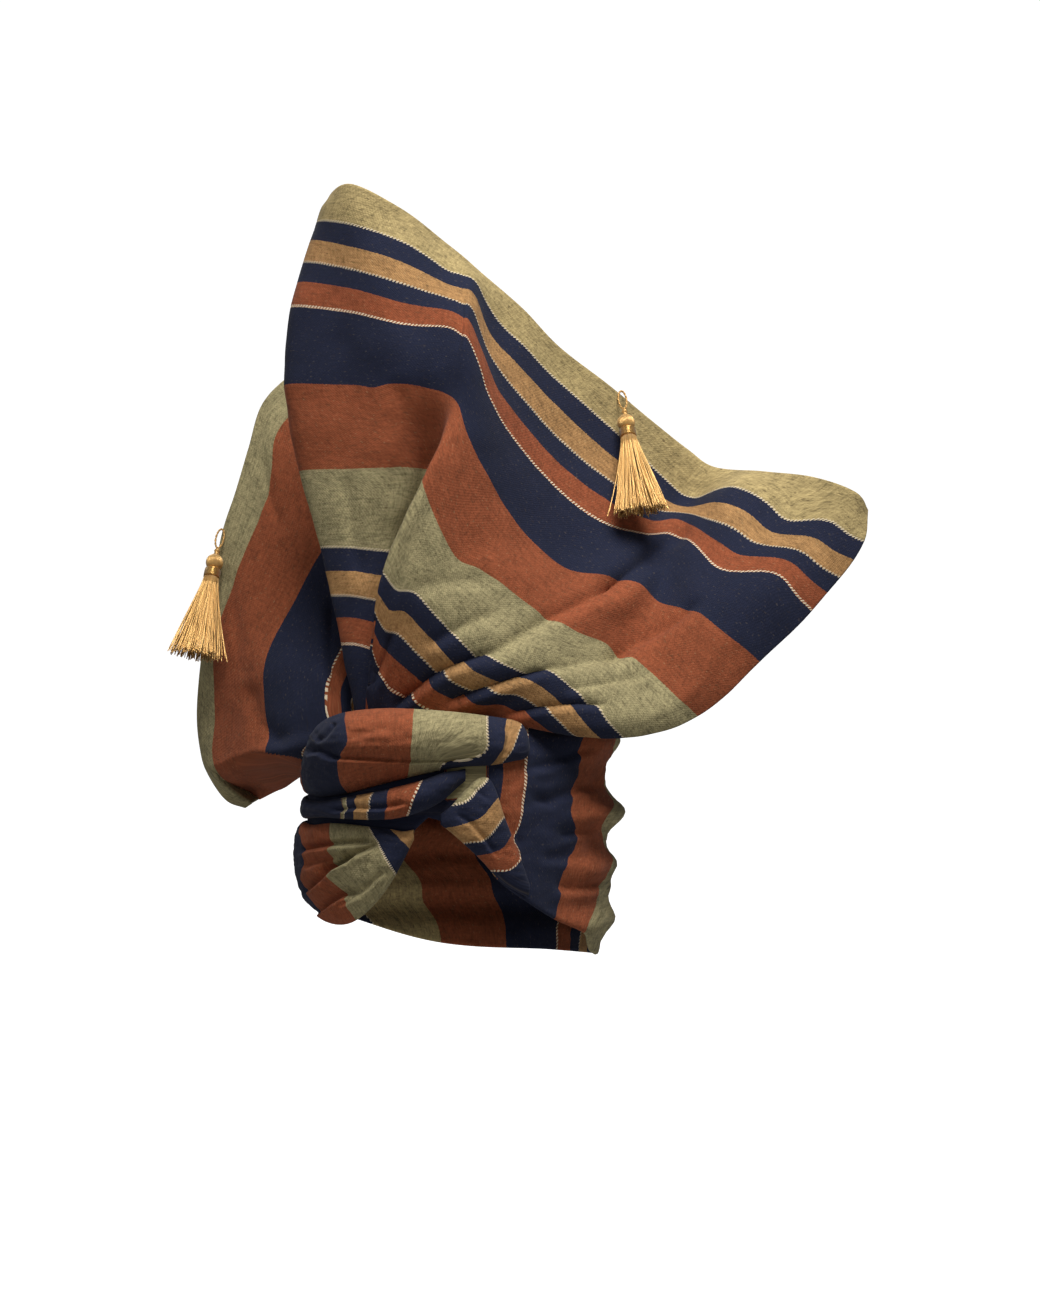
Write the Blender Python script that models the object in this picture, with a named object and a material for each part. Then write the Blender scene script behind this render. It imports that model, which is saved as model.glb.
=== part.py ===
# Striped head wrap with a twisted front, two stiff scarf-end wings and two hanging tassels.
# Metres, +Z up, the wearer faces -Y. The origin is the inside top of the crown, on the crown of the head.
# Tables are in millimetres and are turned into metres as the meshes are made.

import math

import bmesh
import bpy
import numpy as np
from mathutils import Vector

MM = 0.001
GAP = 0.3
SHORTEST_EDGE = 0.01

# The wings are laid out on an elevation drawing, seen from 12 degrees to the wearer's left of the front.
# A drawn point is (across, up, toward): to the right, upwards, and out of the drawing to the eye.
VIEW_TURN = math.radians(12)
EYE_DISTANCE = 2000
EYE_ACROSS = 39
EYE_UP = 30

# Wrap round the head: an oval that is upright below SHOULDER_UP and domed above it.
HEAD_HALF_WIDTH = 88
HEAD_HALF_DEPTH = 103
SHOULDER_UP = -75
CROWN_UP = 2.6
DOME_POWER = 4
WRAP_WALL = 2.6
NAPE_TAPER = 0.045
TAPER_START_UP = -90
TAPER_SPAN = 63
WRAP_TURN_STEPS = 44
WRAP_UP_STEPS = 11
# Rows of the grid gather towards the crown, where the dome turns over quickly.
ROWS_GATHER = 1.6
CUTTER_FOOT_UP = -175

# Lower edge of the wrap, from the peak over the brow round by the wearer's left, the nape and the right.
PEAK_TURN = 5
RIM = (
    # turn, up
    (5, -66),
    (11, -69),
    (17, -77),
    (24, -88),
    (32, -103),
    (44, -116),
    (58, -128),
    (72, -138),
    (85, -150),
    (110, -155),
    (150, -158),
    (200, -156),
    (235, -140),
    (262, -120),
    (295, -112),
    (322, -122),
    (335, -119),
    (345, -107),
    (352, -93),
    (357, -79),
    (365, -66),
)

# Pleats that run round the left side and the back of the wrap, each a soft ridge.
PLEATS = (
    # up, height, half_width
    (-22, 15, 12),
    (-68, 12, 9),
    (-100, 7, 8),
    (-114, 3, 6),
    (-132, 8, 9),
)
PLEATS_BASE = 2.5
PLEATS_FROM_TURN = 52
PLEATS_TO_TURN = 262
PLEATS_EASE = 26

# Folds wound over the wrap, each between two edges, with the height of its roll.
UPPER_FOLD = (
    # turn, lower, upper, bulge, lift
    (-165, -40, -36, 1, 0),
    (-145, -46, -31, 2, 0),
    (-120, -51, -27, 3, 0),
    (-95, -54, -25, 3, 1),
    (-75, -55, -22, 4, 2),
    (-58, -56, -15, 6, 3),
    (-42, -56, -10, 14, 7),
    (-28, -53, -8, 20, 10),
    (-12, -47, -7, 22, 11),
    (4, -41, -7, 21, 9),
    (18, -37, -8, 17, 7),
    (30, -36, -9, 12, 4),
    (38, -34, -10, 9, 2),
    (43, -32, -12, 6, 1),
    (45, -28, -15, 2, 0),
)
MIDDLE_FOLD = (
    # turn, lower, upper, bulge, lift
    (-165, -62, -58, 1, 0),
    (-145, -66, -56, 2, 0),
    (-120, -70, -56, 3, 0),
    (-95, -71, -57, 3, 0),
    (-75, -71, -58, 3, 0),
    (-58, -70, -59, 5, 0),
    (-42, -68, -58, 8, 0),
    (-24, -68, -54, 12, 0),
    (-8, -67, -49, 13, 0),
    (4, -62, -44, 13, 0),
    (11, -56, -40, 11, 0),
    (16, -49, -39, 6, 0),
    (19, -45, -38, 3, 0),
)
LOWER_FOLD = (
    # turn, lower, upper, bulge, lift
    (-165, -94, -88, 1, 0),
    (-145, -104, -82, 2, 0),
    (-120, -109, -76, 3, 0),
    (-100, -108, -74, 4, 0),
    (-80, -108, -73, 6, 0),
    (-66, -114, -73, 8, 0),
    (-52, -124, -73, 9, 0),
    (-39, -130, -71, 9, 0),
    (-27, -128, -71, 9, 0),
    (-17, -118, -72, 8, 0),
    (-9, -104, -73, 7, 0),
    (-4, -91, -74, 5, 0),
    (0, -79, -73, 2, 0),
)
BROW_FOLD = (
    # turn, lower, upper, bulge, lift
    (10, -70, -64, 2, 0),
    (14, -75, -59, 6, 0),
    (19, -82, -50, 8, 0),
    (25, -91, -43, 8, 0),
    (29, -98, -46, 8, 0),
    (33, -104, -64, 7, 0),
    (38, -109, -84, 6, 0),
    (43, -113, -103, 3, 0),
)
FOLD_EDGE = 0.8
FOLD_SINK = 1.5
FOLD_ACROSS_STEPS = 7
FOLD_STATIONS = 20
BROW_FOLD_STATIONS = 12
ROLL_FULLNESS = 0.8

# Front wing: a double scarf end spread like a fan. One row is one rib of the fan, from the hem down to the
# knot. Its places are where the rib crosses the lines of the stripes, which are named by their distance in
# millimetres of cloth from the hem; the root lies at the distance that stands first in the row.
FRONT_LINES = (0, 24, 80, 126, 176, 224)
FRONT_WING = (
    # root_at, hem, line_24, line_80, line_126, line_176, line_224, root
    (335, (-69, 290, -6), (-70, 276, -8), (-82, 226, -2), (-86, 182, 6),
     (-78, 134, 20), (-67, 90, 36), (-53, -26, 57)),
    (335, (-77, 301, 22), (-82, 289, 26), (-98, 238, 34), (-101, 191, 40),
     (-92, 139, 44), (-81, 93, 52), (-56, -26, 60)),
    (335, (-64, 313, 50), (-64, 289, 54), (-63, 235, 60), (-65, 191, 62),
     (-65, 140, 64), (-63, 93, 65), (-56, -26, 65)),
    (330, (-33, 298, 54), (-33, 278, 60), (-33, 228, 74), (-33, 192, 76),
     (-36, 141, 70), (-42, 91, 63), (-52, -26, 66)),
    (320, (-6, 277, 34), (-7, 261, 50), (-6, 226, 70), (-16, 189, 72),
     (-18, 140, 54), (-27, 91, 47), (-48, -26, 61)),
    (318, (5, 268, 27), (3, 257, 46), (4, 221, 73), (-6, 186, 75),
     (-7, 137, 71), (-18, 87, 66), (-44, -26, 66)),
    (315, (16, 258, 24), (12, 252, 44), (8, 216, 74), (2, 179, 80),
     (-19, 133, 99), (-41, 80, 99), (-54, -26, 74)),
    (312, (41, 237, 14), (26, 229, 30), (21, 181, 64), (8, 158, 82),
     (-14, 114, 98), (-36, 68, 100), (-54, -26, 76)),
    (312, (63, 214, 0), (50, 205, 14), (38, 154, 46), (24, 127, 68),
     (0, 87, 90), (-24, 65, 100), (-50, -26, 74)),
    (312, (93, 191, -18), (79, 178, -6), (61, 128, 30), (42, 101, 56),
     (18, 78, 82), (-9, 49, 97), (-41, -26, 76)),
    (310, (117, 171, -32), (104, 156, -20), (89, 107, 18), (68, 79, 44),
     (47, 56, 70), (12, 30, 93), (-30, -25, 77)),
    (308, (141, 152, -42), (128, 133, -32), (115, 101, 6), (100, 75, 36),
     (73, 42, 64), (40, 19, 88), (-17, -24, 77)),
    (306, (158, 141, -38), (144, 123, -32), (134, 102, 0), (122, 62, 26),
     (95, 33, 52), (59, 16, 82), (-3, -22, 76)),
    (306, (188, 138, -12), (170, 128, -2), (158, 84, 30), (141, 57, 44),
     (118, 17, 58), (81, 0, 80), (8, -19, 75)),
    (306, (218, 135, 6), (203, 112, 14), (186, 76, 36), (162, 41, 48),
     (134, 2, 62), (93, -13, 79), (14, -15, 73)),
    (306, (243, 126, 12), (229, 103, 18), (203, 65, 34), (174, 32, 45),
     (141, -4, 59), (99, -19, 76), (18, -13, 68)),
    (306, (250, 115, 6), (248, 96, 14), (216, 54, 28), (184, 23, 40),
     (147, -10, 54), (103, -23, 72), (22, -10, 64)),
)

# Rear wing: the other scarf end, spread to the wearer's right and showing the other face of the cloth.
REAR_LINES = (0, 24, 74, 120)
REAR_WING = (
    # root_at, hem, line_24, line_74, line_120, root
    (160, (-127, -65, -50), (-120, -61, -44), (-97, -48, -16), (-84, -39, 10), (-60, -28, 44)),
    (160, (-139, -60, -40), (-131, -54, -28), (-104, -43, 2), (-88, -36, 26), (-60, -26, 46)),
    (160, (-150, -43, -32), (-142, -45, -14), (-113, -34, 24), (-92, -30, 40), (-58, -23, 49)),
    (160, (-154, -29, -38), (-146, -31, -20), (-113, -23, 22), (-77, -17, 48), (-56, -19, 46)),
    (162, (-156, -7, -42), (-144, -4, -24), (-115, -5, 18), (-78, -4, 46), (-54, -16, 46)),
    (172, (-153, 27, -44), (-145, 30, -28), (-114, 22, 12), (-77, 14, 40), (-52, -15, 45)),
    (180, (-147, 67, -46), (-138, 59, -30), (-105, 44, 6), (-68, 32, 31), (-51, -15, 42)),
    (190, (-141, 101, -48), (-127, 89, -34), (-96, 62, 0), (-62, 42, 22), (-50, -15, 39)),
    (200, (-133, 126, -52), (-117, 114, -40), (-86, 81, -8), (-57, 53, 10), (-50, -15, 34)),
    (215, (-125, 153, -58), (-111, 138, -46), (-76, 98, -18), (-52, 65, -2), (-50, -15, 30)),
    (230, (-117, 179, -64), (-108, 160, -54), (-71, 121, -28), (-49, 85, -12), (-49, -15, 22)),
    (250, (-101, 196, -70), (-95, 176, -60), (-67, 139, -38), (-47, 103, -24), (-47, -15, 12)),
    (260, (-78, 211, -74), (-76, 190, -66), (-60, 150, -46), (-43, 112, -34), (-44, -15, 2)),
    (265, (-54, 219, -76), (-54, 198, -70), (-50, 154, -52), (-41, 115, -40), (-40, -15, -6)),
)
WING_THICKNESS = 3.2
FRONT_ROWS = 13
REAR_ROWS = 10
STEPS_PER_RIB = 3

# Tassels: a cord loop, a wound head, a bright binding and a skirt of threads in locks.
# Each hangs on a wing where "rib" says, counted in rows of its table and parts of a row, by the hem,
# and runs from there to a drawn point at the middle of the skirt's cut end.
FRONT_TASSEL = {"rib": 9.28, "end": (113, 111, 28)}
REAR_TASSEL = {"rib": 7.0, "end": (-158, 26, -4)}
TASSEL_FROM_HEM = 1.5
LOOP_CORD_RADIUS = 0.7
LOOP_GAP = 0.7
LOOP_HALF_WIDTH = 2.4
LOOP_LENGTH = 10.5
LOOP_STATIONS = 16
LOOP_SIDES = 6
STEM_LENGTH = 4.6
STEM_RADIUS = 1.5
STEM_KNOT = (
    # distance down the stem, share of the stem's radius
    (0, 0.8),
    (1.2, 1.15),
    (2.6, 0.85),
    (4.0, 1.0),
)
HEAD_RADIUS = 5.2
HEAD_LENGTH = 9.6
HEAD_RINGS = (-0.86, -0.55, 0.0, 0.5, 0.8)
HEAD_FOOT_RADIUS = 3.1
BINDING_RADIUS = 5.0
BINDING_LENGTH = 6.0
BINDING_ROUNDING = 0.8
BINDING_END_RADIUS = 4.5
TURNED_SIDES = 12
SKIRT_TOP_RADIUS = 4.8
SKIRT_LENGTH = 54
SKIRT_END_HALF_WIDTH = 16.5
SKIRT_END_HALF_DEPTH = 7.0
SKIRT_SPREAD_POWER = 1.15
SKIRT_LOCKS = 11
SIDES_PER_LOCK = 4
SKIRT_STEPS = 4
LOCK_DEPTH = 0.16
LOCK_DEPTH_AT_TOP = 0.35
LOCK_TIP = 1.6

CLOTH_COLOUR = (0.36, 0.17, 0.10, 1)
THREAD_COLOUR = (0.72, 0.50, 0.22, 1)
BINDING_COLOUR = (0.45, 0.27, 0.07, 1)


def through(knots, values, at):
    """Smooth curve through the values at the knots, read at the places in at."""
    knots = np.asarray(knots, float)
    values = np.asarray(values, float).reshape(len(knots), -1)
    at = np.clip(np.asarray(at, float), knots[0], knots[-1])
    slopes = np.diff(values, axis=0) / np.diff(knots)[:, None]
    tangents = np.vstack([slopes[:1], (slopes[:-1] + slopes[1:]) / 2, slopes[-1:]])
    span = np.clip(np.searchsorted(knots, at, side="right") - 1, 0, len(knots) - 2)
    width = (knots[span + 1] - knots[span])[:, None]
    t = (at - knots[span])[:, None] / width
    start = (2 * t**3 - 3 * t**2 + 1) * values[span]
    start_slope = (t**3 - 2 * t**2 + t) * width * tangents[span]
    end = (3 * t**2 - 2 * t**3) * values[span + 1]
    end_slope = (t**3 - t**2) * width * tangents[span + 1]
    return start + start_slope + end + end_slope


def from_drawing(points):
    """Drawn points (across, up, toward) as head axes x, y, z, with the perspective taken out."""
    points = np.asarray(points, float)
    across, up, toward = points[..., 0], points[..., 1], points[..., 2]
    nearer = 1 - toward / EYE_DISTANCE
    across = EYE_ACROSS + (across - EYE_ACROSS) * nearer
    up = EYE_UP + (up - EYE_UP) * nearer
    cos, sin = math.cos(VIEW_TURN), math.sin(VIEW_TURN)
    return np.stack([across * cos + toward * sin, across * sin - toward * cos, up], axis=-1)


def smooth_step(value):
    value = np.clip(value, 0, 1)
    return value * value * (3 - 2 * value)


def pleat_height(turn, up):
    """How far the side pleats stand out at a turn in degrees and a height."""
    starts = smooth_step((turn - PLEATS_FROM_TURN) / PLEATS_EASE)
    ends = smooth_step((PLEATS_TO_TURN - turn) / PLEATS_EASE)
    ridges = sum(
        height * np.exp(-(((up - place) / half_width) ** 2)) for place, height, half_width in PLEATS
    )
    return starts * ends * (PLEATS_BASE + ridges)


def wrap_point(turn, up, out=0.0):
    """Point on the outside of the wrap; turn is in degrees from the front towards the wearer's left."""
    turn = np.asarray(turn, float) % 360
    up = np.asarray(up, float)
    rise = np.clip((up - SHOULDER_UP) / (CROWN_UP - SHOULDER_UP), 0, 1)
    dome = (1 - rise**DOME_POWER) ** (1 / DOME_POWER)
    drop = np.clip((TAPER_START_UP - up) / TAPER_SPAN, 0, None)
    size = dome * (1 - NAPE_TAPER * drop**2)
    angle = np.radians(turn)
    grow = out + pleat_height(turn, up) * dome
    x = (HEAD_HALF_WIDTH * size + grow) * np.sin(angle)
    y = -(HEAD_HALF_DEPTH * size + grow) * np.cos(angle)
    return np.stack(np.broadcast_arrays(x, y, up), axis=-1)


def mesh_object(name, points, faces, material, smooth_angle=40):
    """One closed mesh from points in millimetres, with its normals facing out."""
    mesh = bpy.data.meshes.new(name)
    mesh.from_pydata([Vector(p) * MM for p in points], [], faces)
    body = bmesh.new()
    body.from_mesh(mesh)
    bmesh.ops.remove_doubles(body, verts=body.verts, dist=1e-6)
    bmesh.ops.recalc_face_normals(body, faces=body.faces)
    if body.calc_volume(signed=True) < 0:
        bmesh.ops.reverse_faces(body, faces=body.faces)
    body.to_mesh(mesh)
    body.free()
    mesh.materials.append(material)
    mesh.shade_smooth()
    mesh.set_sharp_from_angle(angle=math.radians(smooth_angle))
    thing = bpy.data.objects.new(name, mesh)
    bpy.context.scene.collection.objects.link(thing)
    return thing


def closed_between(first, second, closed=False):
    """Points and triangles of the solid between two grids of the same shape, with its sides filled in."""
    rows, columns = first.shape[:2]
    points = np.concatenate([first.reshape(-1, 3), second.reshape(-1, 3)])
    back = rows * columns
    faces = []
    last = rows if closed else rows - 1
    for i in range(last):
        for j in range(columns - 1):
            a, b = i * columns + j, ((i + 1) % rows) * columns + j
            faces += [(a, a + 1, b + 1), (a, b + 1, b)]
            a, b = back + a, back + b
            faces += [(a, b + 1, a + 1), (a, b, b + 1)]
    for i in range(last):
        for j in (0, columns - 1):
            a, b = i * columns + j, ((i + 1) % rows) * columns + j
            faces.append((a, b, back + b, back + a))
    if not closed:
        for i in (0, rows - 1):
            for j in range(columns - 1):
                a = i * columns + j
                faces.append((a, a + 1, back + a + 1, back + a))
    return points, faces


def material(name, colour, roughness):
    made = bpy.data.materials.new(name)
    made.use_nodes = True
    shader = made.node_tree.nodes["Principled BSDF"]
    shader.inputs["Base Color"].default_value = colour
    shader.inputs["Roughness"].default_value = roughness
    made.diffuse_color = colour
    return made


def wrap_grid(out):
    """Grid of points over the wrap from its lower edge to its top, one row for each turn round the head."""
    turns = PEAK_TURN + 360 * np.arange(WRAP_TURN_STEPS) / WRAP_TURN_STEPS
    rim = through([row[0] for row in RIM], [row[1] for row in RIM], turns)
    share = np.linspace(0, 1, WRAP_UP_STEPS + 1)[None, :]
    height = rim + (CROWN_UP - rim) * (1 - (1 - share) ** ROWS_GATHER)
    return wrap_point(turns[:, None], height, out)


def make_wrap(cloth):
    """Hollow crown and side wall of the wrap, open at the bottom."""
    outer = wrap_grid(0)
    inner = wrap_grid(-WRAP_WALL)
    ceiling = CROWN_UP - WRAP_WALL
    inner[..., 2] = np.minimum(inner[..., 2], ceiling)
    inner[:, -1, 2] = ceiling
    inner[:, -1, :2] = 0
    outer[:, -1, :2] = 0
    points, faces = closed_between(outer, inner, closed=True)
    return mesh_object("crown_wrap", points, clean_faces(points, faces), cloth)


def clean_faces(points, faces):
    """Faces without corners that fall on one another."""
    kept = []
    for face in faces:
        corners = []
        for corner in face:
            if all(np.abs(points[corner] - points[other]).max() > 1e-4 for other in corners):
                corners.append(corner)
        if len(corners) > 2:
            kept.append(tuple(corners))
    return kept


def fold_grids(table, grow=0.0, steps=FOLD_STATIONS):
    """Outer and inner grids of a fold, whose roll is half an oval between its two edges."""
    rows = np.array(table, float)
    turns = np.linspace(rows[0, 0], rows[-1, 0], steps + 1)
    lower, upper, bulge, lift = through(rows[:, 0], rows[:, 1:], turns).T
    lower = lower - grow
    upper = upper + grow
    phase = np.linspace(0, math.pi, FOLD_ACROSS_STEPS + 1)[None, :]
    middle, half = (upper + lower) / 2, (upper - lower) / 2
    height = middle[:, None] - half[:, None] * np.cos(phase)
    out = GAP + FOLD_EDGE + grow + bulge[:, None] * np.sin(phase) ** ROLL_FULLNESS
    outer = wrap_point(turns[:, None], height, out)
    outer[..., 2] += lift[:, None] * np.sin(phase)
    inner = wrap_point(turns[:, None], height, -FOLD_SINK)
    return outer, inner


def make_fold(name, table, cloth, head, steps=FOLD_STATIONS):
    """One fold, whose inner side is cut to lie a gap above the wrap."""
    outer, inner = fold_grids(table, steps=steps)
    points, faces = closed_between(outer, inner)
    fold = mesh_object(name, points, faces, cloth)
    cut_away(fold, [head])
    return fold


def wing_ribs(lines, table, rib_places):
    """Ribs read between the table's own: for each place, distances from the hem and drawn points."""
    distances = np.array([list(lines) + [row[0]] for row in table], float)
    stations = np.array([row[1:] for row in table], float)
    ribs, count = distances.shape
    known = np.concatenate([distances[..., None], stations], axis=-1).reshape(ribs, -1)
    read = through(np.arange(ribs), known, rib_places).reshape(len(rib_places), count, 4)
    return read[..., 0], read[..., 1:]


def wing_surface(lines, table, steps_per_rib, rows):
    """Middle surface of a wing in drawn millimetres: one row of points for each rib, from hem to root."""
    places = np.linspace(0, len(table) - 1, (len(table) - 1) * steps_per_rib + 1)
    distances, stations = wing_ribs(lines, table, places)
    share = np.linspace(0, 1, rows + 1)
    return np.stack([through(far / far[-1], rib, share) for far, rib in zip(distances, stations)])


def sheet_normals(grid):
    along = np.gradient(grid, axis=0)
    down = np.gradient(grid, axis=1)
    normal = np.cross(along, down)
    return normal / np.linalg.norm(normal, axis=-1, keepdims=True)


def make_wing(name, lines, table, rows, cloth):
    """Double cloth of one wing as a closed sheet."""
    grid = from_drawing(wing_surface(lines, table, STEPS_PER_RIB, rows))
    normal = sheet_normals(grid)
    half = WING_THICKNESS / 2
    points, faces = closed_between(grid + normal * half, grid - normal * half)
    return mesh_object(name, points, faces, cloth)


def cut_away(thing, cutters):
    """Cuts the cutters' shapes out of the thing and keeps the largest piece that is left."""
    for cutter in cutters:
        cut = thing.modifiers.new("cut", "BOOLEAN")
        cut.operation = "DIFFERENCE"
        cut.object = cutter
        cut.solver = "EXACT"
        cut.use_self = True
    evaluated = thing.evaluated_get(bpy.context.evaluated_depsgraph_get())
    body = bmesh.new()
    body.from_mesh(evaluated.to_mesh())
    evaluated.to_mesh_clear()
    thing.modifiers.clear()
    waiting = set(body.faces)
    pieces = []
    while waiting:
        piece, front = [], [waiting.pop()]
        while front:
            face = front.pop()
            piece.append(face)
            for edge in face.edges:
                for other in edge.link_faces:
                    if other in waiting:
                        waiting.discard(other)
                        front.append(other)
        pieces.append(piece)
    pieces.sort(key=len)
    for piece in pieces[:-1]:
        bmesh.ops.delete(body, geom=piece, context="FACES")
    bmesh.ops.dissolve_degenerate(body, edges=body.edges, dist=SHORTEST_EDGE * MM)
    body.to_mesh(thing.data)
    body.free()


def guide(name, points, faces, cloth):
    """A cutter that isn't part of the wrap."""
    made = mesh_object(name, points, faces, cloth)
    made.hide_render = True
    made.display_type = "WIRE"
    return made


def head_cutter(cloth):
    """The space of the wrap and of the head below it, a gap larger than the wrap all round."""
    outer = wrap_grid(GAP)
    outer[:, -1] = (0, 0, CROWN_UP + GAP)
    foot = outer[:, :1].copy()
    foot[..., 2] = CUTTER_FOOT_UP
    outer = np.concatenate([foot, outer], axis=1)
    rows, columns = outer.shape[:2]
    points = np.vstack([outer.reshape(-1, 3), [[0, 0, CUTTER_FOOT_UP]]])
    faces = []
    for i in range(rows):
        for j in range(columns - 1):
            a, b = i * columns + j, ((i + 1) % rows) * columns + j
            faces += [(a, b + 1, a + 1), (a, b, b + 1)]
        faces.append((i * columns, ((i + 1) % rows) * columns, len(points) - 1))
    return guide("cutter_head", points, clean_faces(points, faces), cloth)


def fold_cutter(name, table, cloth):
    outer, inner = fold_grids(table, grow=GAP)
    points, faces = closed_between(outer, inner)
    return guide(name, points, faces, cloth)


def hung_on(lines, table, tassel):
    """Ends of the line on which a tassel hangs; the upper one lies a gap in front of the cloth."""
    rib = tassel["rib"] + np.array([-0.05, 0, 0.05])
    distances, stations = wing_ribs(lines, table, rib)
    at = TASSEL_FROM_HEM + np.array([-1, 0, 1])
    near = from_drawing(np.stack([through(far, line, at) for far, line in zip(distances, stations)]))
    out = sheet_normals(near)[1, 1]
    to_eye = from_drawing([0, 0, 1]) - from_drawing([0, 0, 0])
    out *= math.copysign(1, out @ to_eye)
    start = near[1, 1] + out * (WING_THICKNESS / 2 + LOOP_GAP + LOOP_CORD_RADIUS)
    return start, from_drawing(tassel["end"])


def hanging_axes(hang):
    """Top point, downward, width and depth directions of a hanging tassel, in head axes."""
    top, end = hang
    down = (end - top) / np.linalg.norm(end - top)
    toward_eye = from_drawing([0, 0, 1]) - from_drawing([0, 0, 0])
    width = np.cross(down, toward_eye)
    width /= np.linalg.norm(width)
    return top, down, width, np.cross(width, down)


def turned(name, hang, profile, substance, sides=TURNED_SIDES):
    """Closed turned shape on a tassel's axis; the profile is (distance down, radius) pairs."""
    top, down, width, depth = hanging_axes(hang)
    points, faces = [], []
    for distance, radius in profile:
        for k in range(sides):
            angle = 2 * math.pi * k / sides
            ring = width * (radius * math.cos(angle)) + depth * (radius * math.sin(angle))
            points.append(top + down * distance + ring)
    for row in range(len(profile) - 1):
        for k in range(sides):
            a, b = row * sides + k, row * sides + (k + 1) % sides
            faces.append((a, b, b + sides, a + sides))
    faces.append(tuple(range(sides)))
    faces.append(tuple(range((len(profile) - 1) * sides, len(profile) * sides)))
    return mesh_object(name, points, faces, substance)


def make_loop(name, hang, thread):
    """Cord loop: a long ring of cord whose ends run into the knotted stem."""
    top, down, width, depth = hanging_axes(hang)
    steps, sides = LOOP_STATIONS, LOOP_SIDES
    points, faces = [], []
    for i in range(steps):
        angle = 2 * math.pi * i / steps
        centre = (
            top
            + down * (LOOP_LENGTH / 2 * (1 - math.cos(angle)))
            + width * (LOOP_HALF_WIDTH * math.sin(angle))
        )
        outward = width * math.sin(angle) - down * math.cos(angle)
        for k in range(sides):
            side = 2 * math.pi * k / sides
            ring = outward * math.cos(side) + depth * math.sin(side)
            points.append(centre + ring * LOOP_CORD_RADIUS)
    for i in range(steps):
        for k in range(sides):
            a, b = i * sides + k, ((i + 1) % steps) * sides + k
            c, d = ((i + 1) % steps) * sides + (k + 1) % sides, i * sides + (k + 1) % sides
            faces.append((a, b, c, d))
    return mesh_object(name, points, faces, thread)


def make_skirt(name, hang, start, thread):
    """Skirt of threads: locks as ridges round a core that spreads and flattens to its cut end."""
    top, down, width, depth = hanging_axes(hang)
    around = SKIRT_LOCKS * SIDES_PER_LOCK
    rings = []
    for step in range(SKIRT_STEPS + 1):
        share = step / SKIRT_STEPS
        spread = share**SKIRT_SPREAD_POWER
        half_width = SKIRT_TOP_RADIUS + (SKIRT_END_HALF_WIDTH - SKIRT_TOP_RADIUS) * spread
        half_depth = SKIRT_TOP_RADIUS + (SKIRT_END_HALF_DEPTH - SKIRT_TOP_RADIUS) * spread
        groove = LOCK_DEPTH * (LOCK_DEPTH_AT_TOP + (1 - LOCK_DEPTH_AT_TOP) * share)
        ring = []
        for k in range(around):
            angle = 2 * math.pi * k / around
            ridge = 1 - groove * (1 - abs(math.sin(SKIRT_LOCKS * angle / 2)))
            tip = LOCK_TIP * abs(math.sin(SKIRT_LOCKS * angle / 2)) * share
            ring.append(
                top
                + down * (start + SKIRT_LENGTH * share + tip)
                + width * (half_width * ridge * math.cos(angle))
                + depth * (half_depth * ridge * math.sin(angle))
            )
        rings.append(ring)
    points = [p for ring in rings for p in ring]
    faces = []
    for step in range(SKIRT_STEPS):
        for k in range(around):
            a, b = step * around + k, step * around + (k + 1) % around
            faces.append((a, b, b + around, a + around))
    points += [np.mean(rings[0], axis=0), np.mean(rings[-1], axis=0)]
    for k in range(around):
        faces.append((k, (k + 1) % around, len(points) - 2))
        last = SKIRT_STEPS * around
        faces.append((last + k, last + (k + 1) % around, len(points) - 1))
    return mesh_object(name, points, faces, thread, smooth_angle=60)


def make_tassel(prefix, hang, thread, binding):
    """The four pieces of one tassel, each a gap below the one above."""
    make_loop(f"{prefix}_loop", hang, thread)
    stem_start = LOOP_LENGTH + LOOP_CORD_RADIUS + GAP
    head_start = stem_start + STEM_LENGTH
    half = HEAD_LENGTH / 2
    profile = [(stem_start + down, STEM_RADIUS * share) for down, share in STEM_KNOT]
    for share in HEAD_RINGS:
        profile.append((head_start + half + half * share, HEAD_RADIUS * math.sqrt(1 - share**2)))
    profile.append((head_start + HEAD_LENGTH, HEAD_FOOT_RADIUS))
    turned(f"{prefix}_head", hang, profile, thread)
    binding_start = head_start + HEAD_LENGTH + GAP
    binding_end = binding_start + BINDING_LENGTH
    profile = [
        (binding_start, BINDING_END_RADIUS),
        (binding_start + BINDING_ROUNDING, BINDING_RADIUS),
        (binding_end - BINDING_ROUNDING, BINDING_RADIUS),
        (binding_end, BINDING_END_RADIUS),
    ]
    turned(f"{prefix}_binding", hang, profile, binding)
    make_skirt(f"{prefix}_skirt", hang, binding_end + GAP, thread)


def main():
    for thing in list(bpy.data.objects):
        bpy.data.objects.remove(thing)
    cloth = material("striped_cloth", CLOTH_COLOUR, 0.9)
    thread = material("tassel_thread", THREAD_COLOUR, 0.45)
    binding = material("tassel_binding", BINDING_COLOUR, 0.35)
    make_wrap(cloth)
    head = head_cutter(cloth)
    make_fold("upper_fold", UPPER_FOLD, cloth, head)
    make_fold("middle_fold", MIDDLE_FOLD, cloth, head)
    make_fold("lower_fold", LOWER_FOLD, cloth, head)
    make_fold("brow_fold", BROW_FOLD, cloth, head, steps=BROW_FOLD_STATIONS)
    front = make_wing("front_wing", FRONT_LINES, FRONT_WING, FRONT_ROWS, cloth)
    rear = make_wing("rear_wing", REAR_LINES, REAR_WING, REAR_ROWS, cloth)
    cutters = [head, fold_cutter("cutter_upper_fold", UPPER_FOLD, cloth)]
    cut_away(front, cutters)
    cut_away(rear, cutters)
    make_tassel("front_tassel", hung_on(FRONT_LINES, FRONT_WING, FRONT_TASSEL), thread, binding)
    make_tassel("rear_tassel", hung_on(REAR_LINES, REAR_WING, REAR_TASSEL), thread, binding)


main()
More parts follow.
